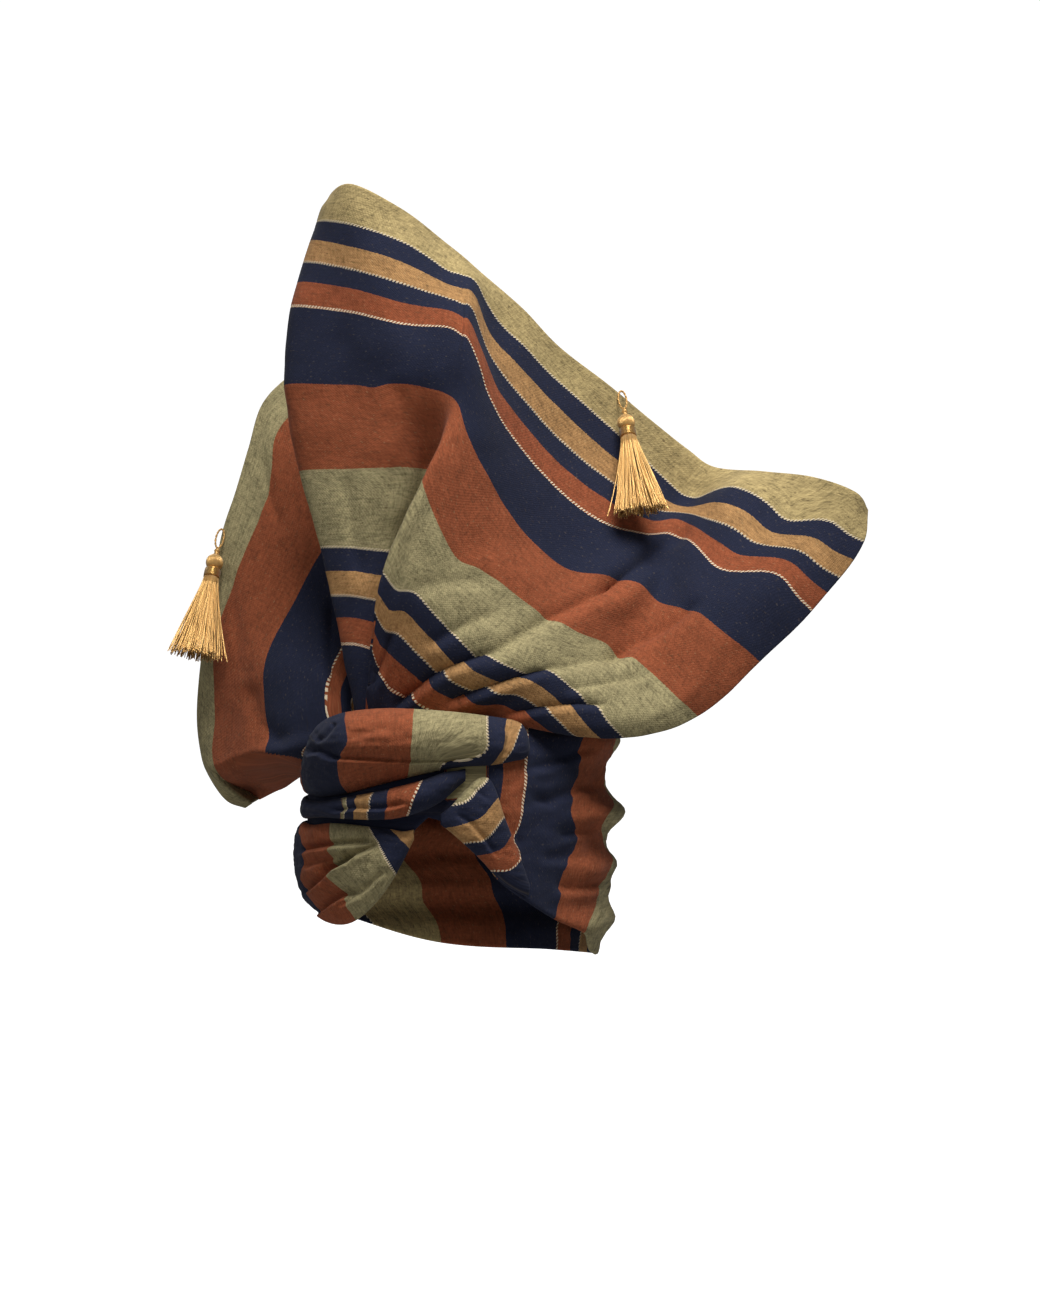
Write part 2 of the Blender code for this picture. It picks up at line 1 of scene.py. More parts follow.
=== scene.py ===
# %% [markdown]
# A striped head wrap, wound round the head, twisted over the brow and left with two wide scarf ends that
# stand up like wings. A gold tassel hangs from the hem of each wing.
# The solids made for the simulation are the frame: every piece of cloth and thread below lies where its
# solid lies, rides on the same body and takes the solid's place in the picture.

# %% The frame
import math
import random

import bmesh
import bpy
import numpy as np
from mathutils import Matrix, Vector, noise


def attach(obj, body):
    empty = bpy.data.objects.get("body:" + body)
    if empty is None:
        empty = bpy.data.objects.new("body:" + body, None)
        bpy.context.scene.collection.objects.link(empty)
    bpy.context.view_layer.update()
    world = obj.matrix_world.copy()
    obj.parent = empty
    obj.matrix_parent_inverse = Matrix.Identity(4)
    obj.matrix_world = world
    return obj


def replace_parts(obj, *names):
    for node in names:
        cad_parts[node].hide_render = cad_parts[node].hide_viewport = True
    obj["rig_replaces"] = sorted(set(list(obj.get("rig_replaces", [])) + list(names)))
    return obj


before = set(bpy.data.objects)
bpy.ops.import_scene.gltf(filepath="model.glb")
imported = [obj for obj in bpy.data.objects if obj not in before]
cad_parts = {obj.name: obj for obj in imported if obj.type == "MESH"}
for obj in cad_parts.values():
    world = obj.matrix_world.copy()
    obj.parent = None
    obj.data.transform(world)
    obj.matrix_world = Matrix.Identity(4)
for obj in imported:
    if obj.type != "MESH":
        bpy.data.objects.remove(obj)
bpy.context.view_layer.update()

# %% [markdown]
# The wrap was measured on one picture, taken level with it and 12 degrees to the wearer's left of the front.
# One could build by eye in the model's axes, or keep a drawing frame (across, up, toward the eye) and turn
# drawn points into model points. The second keeps each fold under its place in the picture, so it is used
# here, with the perspective of a camera two metres away.

# %% The drawing frame
MM = 0.001
VIEW_TURN = math.radians(12)
EYE_DISTANCE = 2000
EYE_ACROSS = 39
EYE_UP = 30
PIXELS_PER_MM = 1.65
ORIGIN_PIXEL = (455, 700)
PICTURE_SIZE = (1040, 1300)
COS, SIN = math.cos(VIEW_TURN), math.sin(VIEW_TURN)
TO_EYE = np.array([SIN, -COS, 0])


def from_drawing(points):
    """Drawn points (across, up, toward) as x, y, z of the model, in millimetres."""
    points = np.asarray(points, float)
    across, up, toward = points[..., 0], points[..., 1], points[..., 2]
    nearer = 1 - toward / EYE_DISTANCE
    across = EYE_ACROSS + (across - EYE_ACROSS) * nearer
    up = EYE_UP + (up - EYE_UP) * nearer
    return np.stack([across * COS + toward * SIN, across * SIN - toward * COS, up], axis=-1)


def on_drawing(points):
    """Model points in millimetres as they are seen on the drawing: across and up."""
    points = np.asarray(points, float)
    across = points[..., 0] * COS + points[..., 1] * SIN
    toward = points[..., 0] * SIN - points[..., 1] * COS
    nearer = 1 - toward / EYE_DISTANCE
    return np.stack(
        [EYE_ACROSS + (across - EYE_ACROSS) / nearer, EYE_UP + (points[..., 2] - EYE_UP) / nearer], axis=-1
    )


def seen(*pixels):
    """Places read on the picture, as drawn across and up."""
    left, top = ORIGIN_PIXEL
    return [((x - left) / PIXELS_PER_MM, (top - y) / PIXELS_PER_MM) for x, y in pixels]


def through(knots, values, at):
    """Smooth curve through the values at the knots, read at the places in at."""
    knots = np.asarray(knots, float)
    values = np.asarray(values, float).reshape(len(knots), -1)
    at = np.clip(np.asarray(at, float), knots[0], knots[-1])
    slopes = np.diff(values, axis=0) / np.diff(knots)[:, None]
    tangents = np.vstack([slopes[:1], (slopes[:-1] + slopes[1:]) / 2, slopes[-1:]])
    span = np.clip(np.searchsorted(knots, at, side="right") - 1, 0, len(knots) - 2)
    width = (knots[span + 1] - knots[span])[:, None]
    t = (at - knots[span])[:, None] / width
    start = (2 * t**3 - 3 * t**2 + 1) * values[span]
    start_slope = (t**3 - 2 * t**2 + t) * width * tangents[span]
    end = (3 * t**2 - 2 * t**3) * values[span + 1]
    end_slope = (t**3 - t**2) * width * tangents[span + 1]
    return start + start_slope + end + end_slope


def smooth_step(value):
    value = np.clip(value, 0, 1)
    return value * value * (3 - 2 * value)


def faded_ends(share, part):
    """1 along the middle of a line, fading to 0 over that part of it at both ends."""
    return smooth_step(share / part) * smooth_step((1 - share) / part)


print("drawn origin comes back to", on_drawing(from_drawing([0, 0, 0])))

# %% [markdown]
# The camera stands where the photographer stood: level with the wrap, two metres away, with a long lens.
# Its lens is worked out from the height of the picture, so a millimetre of cloth covers the same share of
# the frame as it does in the picture.

# %% The camera
SENSOR = 36
centre_across = (PICTURE_SIZE[0] / 2 - ORIGIN_PIXEL[0]) / PIXELS_PER_MM
centre_up = (ORIGIN_PIXEL[1] - PICTURE_SIZE[1] / 2) / PIXELS_PER_MM
eye_place = np.array(
    [centre_across * COS + EYE_DISTANCE * SIN, centre_across * SIN - EYE_DISTANCE * COS, centre_up]
)
camera = bpy.data.cameras.new("camera")
camera.sensor_fit = "VERTICAL"
camera.sensor_height = SENSOR
camera.lens = SENSOR * EYE_DISTANCE / (PICTURE_SIZE[1] / PIXELS_PER_MM)
eye = bpy.data.objects.new("camera", camera)
eye.location = Vector(eye_place * MM)
eye.rotation_euler = (math.pi / 2, 0, VIEW_TURN)
bpy.context.scene.collection.objects.link(eye)
bpy.context.scene.camera = eye
print("lens in mm:", round(camera.lens, 2), "camera at:", [round(x, 3) for x in eye.location])

# %% [markdown]
# The wrap hangs in a plain white studio. The floor is a sheet of pale paper that curves up behind, so that
# no corner shows, and it lies well below the wrap, which is worn and never stands on its edge.
# One wide lamp above and in front makes the soft shadows under each roll, a weak one fills them from the
# left, another lights the back, and the pale world lifts the rest.

# %% The studio
FLOOR_UP = -0.42
FLOOR_HALF_WIDTH = 4.0
FLOOR_BEFORE = 3.0
SWEEP_RADIUS = 1.2
SWEEP_BEHIND = 1.6
SWEEP_STEPS = 12
WALL_HEIGHT = 4.0
PAPER_WHITE = 0.80
PAPER_GLOW = 0.72
PAPER_BOUNCE = 0.35
WORLD_LIGHT = 0.145


def for_the_eye(tree, shown, hidden):
    """A strength that is one number for the picture itself and another for the light on the cloth."""
    path = tree.nodes.new("ShaderNodeLightPath")
    chosen = tree.nodes.new("ShaderNodeMath")
    chosen.operation = "MULTIPLY_ADD"
    tree.links.new(path.outputs["Is Camera Ray"], chosen.inputs[0])
    chosen.inputs[1].default_value = shown - hidden
    chosen.inputs[2].default_value = hidden
    return chosen.outputs[0]


def new_material(name):
    """A material, its node tree and its shader."""
    made = bpy.data.materials.new(name)
    made.use_nodes = True
    return made, made.node_tree, made.node_tree.nodes["Principled BSDF"]


def paper_material():
    """White paper that stays white in the picture, but throws little light back on the cloth."""
    made, tree, shader = new_material("studio_paper")
    tree.links.new(for_the_eye(tree, PAPER_WHITE, PAPER_BOUNCE), shader.inputs["Base Color"])
    shader.inputs["Roughness"].default_value = 0.9
    shader.inputs["Emission Color"].default_value = (1, 1, 1, 1)
    tree.links.new(for_the_eye(tree, PAPER_GLOW, 0.0), shader.inputs["Emission Strength"])
    return made


def in_scene(name, data):
    thing = bpy.data.objects.new(name, data)
    bpy.context.scene.collection.objects.link(thing)
    return thing


def make_sweep():
    line = [(-FLOOR_BEFORE, FLOOR_UP), (SWEEP_BEHIND, FLOOR_UP)]
    for angle in np.linspace(0, math.pi / 2, SWEEP_STEPS + 1)[1:]:
        far, up = math.sin(angle), 1 - math.cos(angle)
        line.append((SWEEP_BEHIND + SWEEP_RADIUS * far, FLOOR_UP + SWEEP_RADIUS * up))
    line.append((SWEEP_BEHIND + SWEEP_RADIUS, WALL_HEIGHT))
    side = np.array([COS, SIN, 0])
    points = []
    for far, up in line:
        for half in (-FLOOR_HALF_WIDTH, FLOOR_HALF_WIDTH):
            points.append(Vector(side * half - TO_EYE * far + np.array([0, 0, up])))
    faces = [(2 * k, 2 * k + 1, 2 * k + 3, 2 * k + 2) for k in range(len(line) - 1)]
    mesh = bpy.data.meshes.new("floor")
    mesh.from_pydata(points, [], faces)
    mesh.shade_smooth()
    mesh.materials.append(paper_material())
    floor = in_scene("floor", mesh)


def lamp(name, place, aim, size, power):
    light = bpy.data.lights.new(name, "AREA")
    light.shape = "DISK"
    light.size = size
    light.energy = power
    thing = in_scene(name, light)
    thing.location = place
    thing.rotation_euler = (Vector(aim) - Vector(place)).to_track_quat("-Z", "Y").to_euler()


make_sweep()
lamp("lamp_right", (0.44, -0.74, 1.68), (0.03, 0.0, 0.10), 1.2, 52)
lamp("lamp_left", (-1.2, -1.8, 0.9), (0.0, 0.0, 0.05), 1.2, 4)
lamp("lamp_back", (-0.9, 1.5, 1.0), (0.0, 0.0, 0.05), 1.4, 12)
world = bpy.data.worlds.new("studio")
world.use_nodes = True
sky = world.node_tree.nodes["Background"].inputs
sky["Color"].default_value = (1, 1, 1, 1)
world.node_tree.links.new(for_the_eye(world.node_tree, 1.0, WORLD_LIGHT), sky["Strength"])
bpy.context.scene.world = world
bpy.context.scene.view_settings.view_transform = "Standard"
print("studio: floor at", FLOOR_UP, "m, 3 lamps")

# %% [markdown]
# The cloth is a hand-woven cotton with bold stripes. Its stripes repeat every 200 mm: sage, navy, ochre,
# navy, narrow rust, wide navy, wide rust. Thin white threads are laid in beside three of the borders.
# A picture of the cloth could be pasted on, but the weave would be lost on any other size. Instead each
# point of cloth carries two numbers, how far it is along the stripe and where it is in the repeat, and the
# material works the colours out from them.
# Short helpers keep the node trees readable: they add a node, do arithmetic, mix two colours, open a group
# or make stretched noise.

# %% Helpers for materials
def node(tree, kind, **settings):
    made = tree.nodes.new(kind)
    for name, value in settings.items():
        setattr(made, name, value)
    return made


def feed(tree, socket, value):
    if isinstance(value, bpy.types.NodeSocket):
        tree.links.new(value, socket)
    elif value is not None:
        socket.default_value = value


def sum_of(tree, operation, first, second=None, third=None, clamp=False):
    """One Math node; numbers and sockets may be mixed."""
    made = node(tree, "ShaderNodeMath", operation=operation, use_clamp=clamp)
    for socket, value in zip(made.inputs, (first, second, third)):
        feed(tree, socket, value)
    return made.outputs[0]


def times(tree, first, second, clamp=False):
    return sum_of(tree, "MULTIPLY", first, second, clamp=clamp)


def swing(tree, grain, reach):
    """Noise from 0 to 1 made to swing about nought."""
    return times(tree, sum_of(tree, "SUBTRACT", grain, 0.5), reach)


def mixed(tree, share, first, second, blend="MIX"):
    """One colour mix."""
    made = node(tree, "ShaderNodeMix", data_type="RGBA", blend_type=blend)
    feed(tree, made.inputs[0], share)
    feed(tree, made.inputs[6], first)
    feed(tree, made.inputs[7], second)
    return made.outputs[2]


def group(name, inputs, outputs):
    """A new node group with named sockets: (tree, its inputs, its outputs)."""
    tree = bpy.data.node_groups.new(name, "ShaderNodeTree")
    for title, kind, start in inputs:
        socket = tree.interface.new_socket(title, in_out="INPUT", socket_type=kind)
        if start is not None:
            socket.default_value = start
    for title, kind in outputs:
        tree.interface.new_socket(title, in_out="OUTPUT", socket_type=kind)
    return tree, node(tree, "NodeGroupInput").outputs, node(tree, "NodeGroupOutput").inputs


def noise_at(tree, place, across_scale, along_scale, detail=2.0, roughness=0.6):
    """Noise that is stretched: its grains are 1/across_scale by 1/along_scale millimetres."""
    scaled = node(tree, "ShaderNodeVectorMath", operation="MULTIPLY")
    feed(tree, scaled.inputs[0], place)
    scaled.inputs[1].default_value = (along_scale, across_scale, 1)
    made = node(tree, "ShaderNodeTexNoise")
    made.inputs["Scale"].default_value = 1
    made.inputs["Detail"].default_value = detail
    made.inputs["Roughness"].default_value = roughness
    feed(tree, made.inputs["Vector"], scaled.outputs[0])
    return made.outputs[0]


FLOAT, COLOUR, VECTOR = "NodeSocketFloat", "NodeSocketColor", "NodeSocketVector"
print("helpers ready")

# %% [markdown]
# The stripes are a colour ramp with hard steps, read at the place in the repeat. The border of a woven
# stripe is never ruler straight, because single threads wander, so the place is shaken a little first.
# The same group says how strongly each stripe is heathered: the sage yarn is a mix of light and dark
# fibres, the navy is nearly plain.

# %% The stripes
REPEAT = 200
STITCH_PITCH = 2.1
STITCH_GAP = 0.45
SAGE = (0.345, 0.262, 0.118, 1)
SAGE_GREEN = (0.268, 0.228, 0.118, 1)
NAVY = (0.0150, 0.0180, 0.0370, 1)
OCHRE = (0.330, 0.180, 0.072, 1)
RUST = (0.240, 0.066, 0.028, 1)
STRIPES = (
    # from, colour, how heathered
    (0, SAGE, 1.0),
    (48, NAVY, 0.30),
    (62, OCHRE, 0.85),
    (76, NAVY, 0.30),
    (89, RUST, 0.70),
    (104, NAVY, 0.30),
    (150, RUST, 0.70),
)
WHITE_THREADS = (
    # from, to, how bright
    (47.4, 48.8, 0.72),
    (75.3, 76.6, 0.60),
    (103.0, 104.6, 0.95),
)
THREAD_WHITE = (0.72, 0.60, 0.42, 1)


def hard_ramp(tree, place, steps):
    """A colour ramp without blends: steps are (from, colour) in millimetres of the repeat."""
    ramp = node(tree, "ShaderNodeValToRGB")
    ramp.color_ramp.interpolation = "CONSTANT"
    elements = ramp.color_ramp.elements
    while len(elements) < len(steps):
        elements.new(1)
    for element, (start, colour) in zip(elements, steps):
        element.position = start / REPEAT
        element.color = colour
    feed(tree, ramp.inputs[0], place)
    return ramp.outputs[0]


def stripes_group():
    tree, given, made = group(
        "stripe places",
        [("Cloth", VECTOR, None), ("Wander", FLOAT, 1.6)],
        [("Colour", COLOUR), ("Heather", FLOAT), ("White Thread", FLOAT)],
    )
    parts = node(tree, "ShaderNodeSeparateXYZ")
    feed(tree, parts.inputs[0], given["Cloth"])
    wander = noise_at(tree, given["Cloth"], 0.9, 0.8, 3.0, 0.8)
    shaken = swing(tree, wander, given["Wander"])
    moved = sum_of(tree, "ADD", parts.outputs[1], shaken)
    place = sum_of(tree, "FRACT", sum_of(tree, "DIVIDE", moved, REPEAT))
    plain = hard_ramp(tree, place, [(start, colour) for start, colour, _ in STRIPES])
    # Every second sage stripe is a darker, greener sage. On the rear wing and in the corner by the brow roll
    # it is put as painted shade.
    pair = sum_of(tree, "FRACT", sum_of(tree, "DIVIDE", moved, 2 * REPEAT))
    greener = sum_of(tree, "GREATER_THAN", pair, 0.499)
    sage = sum_of(tree, "LESS_THAN", place, STRIPES[1][0] / REPEAT)
    feed(tree, made["Colour"], mixed(tree, times(tree, greener, sage), plain, SAGE_GREEN))
    heather = hard_ramp(tree, place, [(start, (much, much, much, 1)) for start, _, much in STRIPES])
    feed(tree, made["Heather"], heather)
    bands = [(0, (0, 0, 0, 1))]
    for start, end, bright in WHITE_THREADS:
        bands += [(start, (bright, bright, bright, 1)), (end, (0, 0, 0, 1))]
    band = hard_ramp(tree, place, bands)
    # The white thread floats over the cloth in short slanted stitches.
    slant = sum_of(tree, "MULTIPLY_ADD", parts.outputs[1], 0.8, parts.outputs[0])
    stitch = sum_of(tree, "FRACT", sum_of(tree, "DIVIDE", slant, STITCH_PITCH))
    shows = sum_of(tree, "GREATER_THAN", stitch, STITCH_GAP)
    feed(tree, made["White Thread"], times(tree, band, shows))
    return tree


STRIPE_PLACES = stripes_group()
print("stripes in a repeat:", len(STRIPES), "white threads:", len(WHITE_THREADS))

# %% [markdown]
# Heathered yarn shows as short streaks along the thread, with single dark and pale slubs, the thick places
# in hand-spun yarn. Two stretched noises do it: a long one for the yarn that runs with the stripe and a
# shorter one for the yarn that crosses it. A wide soft noise adds the uneven dye.

# %% The heather
def heather_group():
    tree, given, made = group(
        "heathered yarn",
        [("Cloth", VECTOR, None)],
        [("Shade", FLOAT), ("Slub", FLOAT), ("Fleck", FLOAT)],
    )
    with_stripe = noise_at(tree, given["Cloth"], 0.62, 0.13, 3.0, 0.75)
    across_stripe = noise_at(tree, given["Cloth"], 0.17, 0.62, 3.0, 0.75)
    wide = noise_at(tree, given["Cloth"], 0.09, 0.05, 3.0, 0.6)
    streaks = swing(tree, with_stripe, 2.3)
    crossing = swing(tree, across_stripe, 2.1)
    dye = swing(tree, wide, 1.0)
    feed(tree, made["Shade"], sum_of(tree, "ADD", sum_of(tree, "ADD", streaks, crossing), dye))
    slubs = noise_at(tree, given["Cloth"], 0.62, 0.26, 1.0, 0.4)
    feed(tree, made["Slub"], times(tree, sum_of(tree, "SUBTRACT", slubs, 0.63), 9, clamp=True))
    flecks = noise_at(tree, given["Cloth"], 0.8, 0.5, 0.0, 0.5)
    feed(tree, made["Fleck"], times(tree, sum_of(tree, "SUBTRACT", flecks, 0.7), 10, clamp=True))
    return tree


HEATHERED_YARN = heather_group()
print("group:", HEATHERED_YARN.name)

# %% [markdown]
# The weave is plain: each crossing thread goes over one and under the next. Two waves multiplied give that
# chequered relief. It is only felt as a fine tooth in the light, so it goes into a Bump node.

# %% The weave
THREAD_SPACING = 0.95


def weave_group():
    tree, given, made = group(
        "plain weave",
        [("Cloth", VECTOR, None), ("Spacing", FLOAT, THREAD_SPACING)],
        [("Height", FLOAT)],
    )
    parts = node(tree, "ShaderNodeSeparateXYZ")
    feed(tree, parts.inputs[0], given["Cloth"])
    wander = noise_at(tree, given["Cloth"], 0.35, 0.35, 2.0, 0.6)
    waves = []
    for part in (parts.outputs[0], parts.outputs[1]):
        moved = sum_of(tree, "ADD", part, times(tree, wander, 1.2))
        turns = sum_of(tree, "DIVIDE", times(tree, moved, math.pi), given["Spacing"])
        waves.append(sum_of(tree, "SINE", turns))
    crossing = times(tree, waves[0], waves[1])
    coarse = noise_at(tree, given["Cloth"], 1.1, 0.3, 2.0, 0.6)
    feed(tree, made["Height"], sum_of(tree, "MULTIPLY_ADD", crossing, 0.35, times(tree, coarse, 1.1)))
    return tree


PLAIN_WEAVE = weave_group()
print("threads every", THREAD_SPACING, "mm")

# %% [markdown]
# The finished cloth puts the three groups together. The two numbers that each point of cloth carries are
# kept as a UV map called cloth, in metres, so they go along with the mesh wherever it goes.

# %% The striped cloth
CLOTH_MAP = "cloth"
SLUB_DARK = (0.06, 0.04, 0.02, 1)
FLECK_PALE = (0.50, 0.38, 0.20, 1)


def cloth_numbers(tree):
    """The two numbers of each point of cloth, in millimetres."""
    uv = node(tree, "ShaderNodeUVMap", uv_map=CLOTH_MAP)
    scaled = node(tree, "ShaderNodeVectorMath", operation="SCALE")
    feed(tree, scaled.inputs[0], uv.outputs[0])
    scaled.inputs["Scale"].default_value = 1 / MM
    return scaled.outputs[0]


def bumped(tree, shader, height, strength, distance):
    bump = node(tree, "ShaderNodeBump")
    bump.inputs["Strength"].default_value = strength
    bump.inputs["Distance"].default_value = distance
    feed(tree, bump.inputs["Height"], height)
    feed(tree, shader.inputs["Normal"], bump.outputs[0])


def cloth_material(name):
    made, tree, shader = new_material(name)
    shader.inputs["Sheen Weight"].default_value = 0.035
    shader.inputs["Sheen Roughness"].default_value = 0.5
    shader.inputs["Specular IOR Level"].default_value = 0.09
    cloth = cloth_numbers(tree)
    given = []
    for made_before in (STRIPE_PLACES, HEATHERED_YARN, PLAIN_WEAVE):
        used = node(tree, "ShaderNodeGroup", node_tree=made_before)
        feed(tree, used.inputs["Cloth"], cloth)
        given.append(used.outputs)
    stripes, yarn, weave = given
    shade = times(tree, yarn["Shade"], stripes["Heather"])
    bright = sum_of(tree, "MULTIPLY_ADD", shade, 0.75, 1.0)
    grey = node(tree, "ShaderNodeCombineColor")
    for socket in grey.inputs:
        feed(tree, socket, bright)
    colour = mixed(tree, 1.0, stripes["Colour"], grey.outputs[0], "MULTIPLY")
    for spots, strength, tone in ((yarn["Slub"], 0.55, SLUB_DARK), (yarn["Fleck"], 0.22, FLECK_PALE)):
        share = times(tree, spots, times(tree, stripes["Heather"], strength))
        colour = mixed(tree, share, colour, tone)
    feed(tree, shader.inputs["Base Color"], mixed(tree, stripes["White Thread"], colour, THREAD_WHITE))
    feed(tree, shader.inputs["Roughness"], sum_of(tree, "MULTIPLY_ADD", yarn["Shade"], 0.08, 0.88))
    height = sum_of(tree, "MULTIPLY_ADD", stripes["White Thread"], 0.6, weave["Height"])
    bumped(tree, shader, height, 0.6, 0.00035)
    return made


striped = cloth_material("striped_cloth")
print("material:", striped.name, "with", len(striped.node_tree.nodes), "nodes")

# %% [markdown]
# Cloth has two faces, and both show on this wrap. A sheet could be one layer with a Solidify modifier, but
# its two faces carry different stripes here, because each wing is cloth folded back on itself at the hem.
# So a double sheet is built from one middle surface: a layer on each side, which close in on one another
# with a rounded edge at the hem and the sides.

# %% Sheets of double cloth
CLOTH_JOIN = 0.02


def unit(vectors):
    return vectors / np.linalg.norm(vectors, axis=-1, keepdims=True)


def sheet_normals(grid):
    return unit(np.cross(np.gradient(grid, axis=0), np.gradient(grid, axis=1)))


def lengths(grid, axis):
    """Length run along one axis of a grid, from its first point."""
    steps = np.linalg.norm(np.diff(grid, axis=axis), axis=-1)
    start = np.zeros_like(np.take(steps, [0], axis=axis))
    return np.concatenate([start, np.cumsum(steps, axis=axis)], axis=axis)


def rounded(distance, half):
    """Half thickness at a distance from a folded edge."""
    return half * np.sqrt(1 - (1 - np.clip(distance / half, 0, 1)) ** 2)


def grid_faces(rows, columns, start=0, turned=False):
    a = start + np.arange(rows - 1)[:, None] * columns + np.arange(columns - 1)
    b = a + columns
    corners = [a, a + 1, b + 1, b] if turned else [a, b, b + 1, a + 1]
    return np.stack(corners, axis=-1).reshape(-1, 4)


def mesh_piece(name, points, faces, places, material, join=None):
    """One mesh object from points in millimetres; places are the cloth numbers of each point."""
    mesh = bpy.data.meshes.new(name)
    mesh.from_pydata((np.asarray(points) * MM).tolist(), [], [tuple(map(int, f)) for f in faces])
    layer = mesh.uv_layers.new(name=CLOTH_MAP)
    corner = np.empty(len(mesh.loops), dtype=np.int32)
    mesh.loops.foreach_get("vertex_index", corner)
    layer.data.foreach_set("uv", (np.asarray(places)[corner] * MM).astype(np.float32).ravel())
    body = bmesh.new()
    body.from_mesh(mesh)
    if join:
        bmesh.ops.remove_doubles(body, verts=body.verts, dist=join * MM)
    bmesh.ops.recalc_face_normals(body, faces=body.faces)
    if join and body.calc_volume(signed=True) < 0:
        bmesh.ops.reverse_faces(body, faces=body.faces)
    body.to_mesh(mesh)
    body.free()
    mesh.materials.append(material)
    mesh.shade_smooth()
    return in_scene(name, mesh)


def triangles(thing):
    return sum(len(face.vertices) - 2 for face in thing.data.polygons)


def settle(thing, *nodes, slot="striped_cloth"):
    """The piece rides on the one body and stands for its solids; the slot argument is not used."""
    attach(thing, "root")
    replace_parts(thing, *nodes)
    print(thing.name, "triangles:", triangles(thing))
    return thing


def wrinkle(points, size, seed):
    """Smooth noise from -1 to 1 at each point, with grains of about that size in millimetres."""
    flat = np.asarray(points).reshape(-1, 3) / size + seed * 17.3
    return np.array([noise.noise(Vector(p)) for p in flat]).reshape(np.shape(points)[:-1])


def wrinkles(points, *kinds):
    """Wrinkles laid over one another, in millimetres; each is (grain size, how flat, seed, height)."""
    return sum(wrinkle(points * [1, 1, flat], size, seed) * height for size, flat, seed, height in kinds)


print("sheet helpers ready")

# %% [markdown]
# A crease is drawn on the picture as a line, with a depth and a width. Along it the cloth dips, and on one
# side it stands a little higher than on the other, as a tuck does where it lies over its neighbour.

# %% Creases
def line_distances(places, line):
    """For each drawn place: distance to a line, side of it, and share of the way along."""
    line = np.asarray(line, float)
    best = np.full(places.shape[:-1], 1e9)
    side = np.zeros_like(best)
    share = np.zeros_like(best)
    steps = np.linalg.norm(np.diff(line, axis=0), axis=1)
    run = np.concatenate([[0], np.cumsum(steps)])
    for k in range(len(line) - 1):
        ahead = (line[k + 1] - line[k]) / steps[k]
        off = places - line[k]
        along = np.clip(off @ ahead, 0, steps[k])
        apart = off - along[..., None] * ahead
        distance = np.linalg.norm(apart, axis=-1)
        nearer = distance < best
        best = np.where(nearer, distance, best)
        side = np.where(nearer, np.sign(off[..., 0] * ahead[1] - off[..., 1] * ahead[0]), side)
        share = np.where(nearer, (run[k] + along) / run[-1], share)
    return best, side, share


def crease_relief(places, creases):
    """How far each drawn place is raised by the creases, in millimetres."""
    raised = np.zeros(places.shape[:-1])
    for depth, width, step, line in creases:
        distance, side, share = line_distances(places, seen(*line))
        fade = faded_ends(share, 0.2)
        dip = np.exp(-((distance / width) ** 2))
        shoulder = np.exp(-((distance / (3 * width)) ** 2)) * side * (1 - dip)
        raised += fade * (step * shoulder - depth * dip)
    return raised


print("crease helpers ready")

# %% [markdown]
# The wrap itself is a hollow crown over the head: an oval that is upright at the sides and domed on top.
# On the wearer's left and at the back the cloth lies in deep pleats. The formula is the one that the solid
# was made with, read at many more points.

# %% The shape of the wrap
HEAD_HALF_WIDTH = 88
HEAD_HALF_DEPTH = 103
SHOULDER_UP = -75
CROWN_UP = 2.6
DOME_POWER = 4
WRAP_WALL = 2.6
NAPE_TAPER = 0.045
TAPER_START_UP = -90
TAPER_SPAN = 63
PEAK_TURN = 5
RIM = (
    # turn, up
    (5, -66), (11, -69), (17, -77), (24, -88), (32, -103), (44, -116), (58, -128), (72, -138), (85, -150),
    (110, -155), (150, -158), (200, -156), (235, -140), (262, -120), (295, -112), (322, -122), (335, -119),
    (345, -107), (352, -93), (357, -79), (365, -66),
)
PLEATS = (
    # up, height, half_width
    (-22, 15, 12), (-68, 12, 9), (-100, 7, 8), (-114, 3, 6), (-132, 8, 9),
)
PLEATS_BASE = 2.5
PLEATS_FROM_TURN = 52
PLEATS_TO_TURN = 262
PLEATS_EASE = 26


def pleat_height(turn, up):
    """How far the side pleats stand out at a turn in degrees and a height."""
    starts = smooth_step((turn - PLEATS_FROM_TURN) / PLEATS_EASE)
    ends = smooth_step((PLEATS_TO_TURN - turn) / PLEATS_EASE)
    ridges = sum(height * np.exp(-(((up - place) / half) ** 2)) for place, height, half in PLEATS)
    return starts * ends * (PLEATS_BASE + ridges)


def wrap_point(turn, up, out=0.0, pleated=True):
    """Point on the outside of the wrap; turn is in degrees from the front towards the wearer's left."""
    turn = np.asarray(turn, float) % 360
    up = np.asarray(up, float)
    rise = np.clip((up - SHOULDER_UP) / (CROWN_UP - SHOULDER_UP), 0, 1)
    dome = (1 - rise**DOME_POWER) ** (1 / DOME_POWER)
    drop = np.clip((TAPER_START_UP - up) / TAPER_SPAN, 0, None)
    size = dome * (1 - NAPE_TAPER * drop**2)
    angle = np.radians(turn)
    grow = out + pleated * pleat_height(turn, up) * dome
    x = (HEAD_HALF_WIDTH * size + grow) * np.sin(angle)
    y = -(HEAD_HALF_DEPTH * size + grow) * np.cos(angle)
    return np.stack(np.broadcast_arrays(x, y, up), axis=-1)


print("wrap at the brow, mm:", np.round(wrap_point(PEAK_TURN, -66), 1))

# %% [markdown]
# Where the stripes lie on a roll can't be worked out from its shape, because the cloth was twisted before it
# was laid. So the borders between the stripes were read off the picture, and a thin bending plate is passed
# through them: it gives every point between the borders its place in the repeat.
# Round the sides and the back, where the picture shows nothing, the stripes carry on at the cloth's true
# width.

# %% Stripe places from seen borders
ROUND_RATE = 1.75


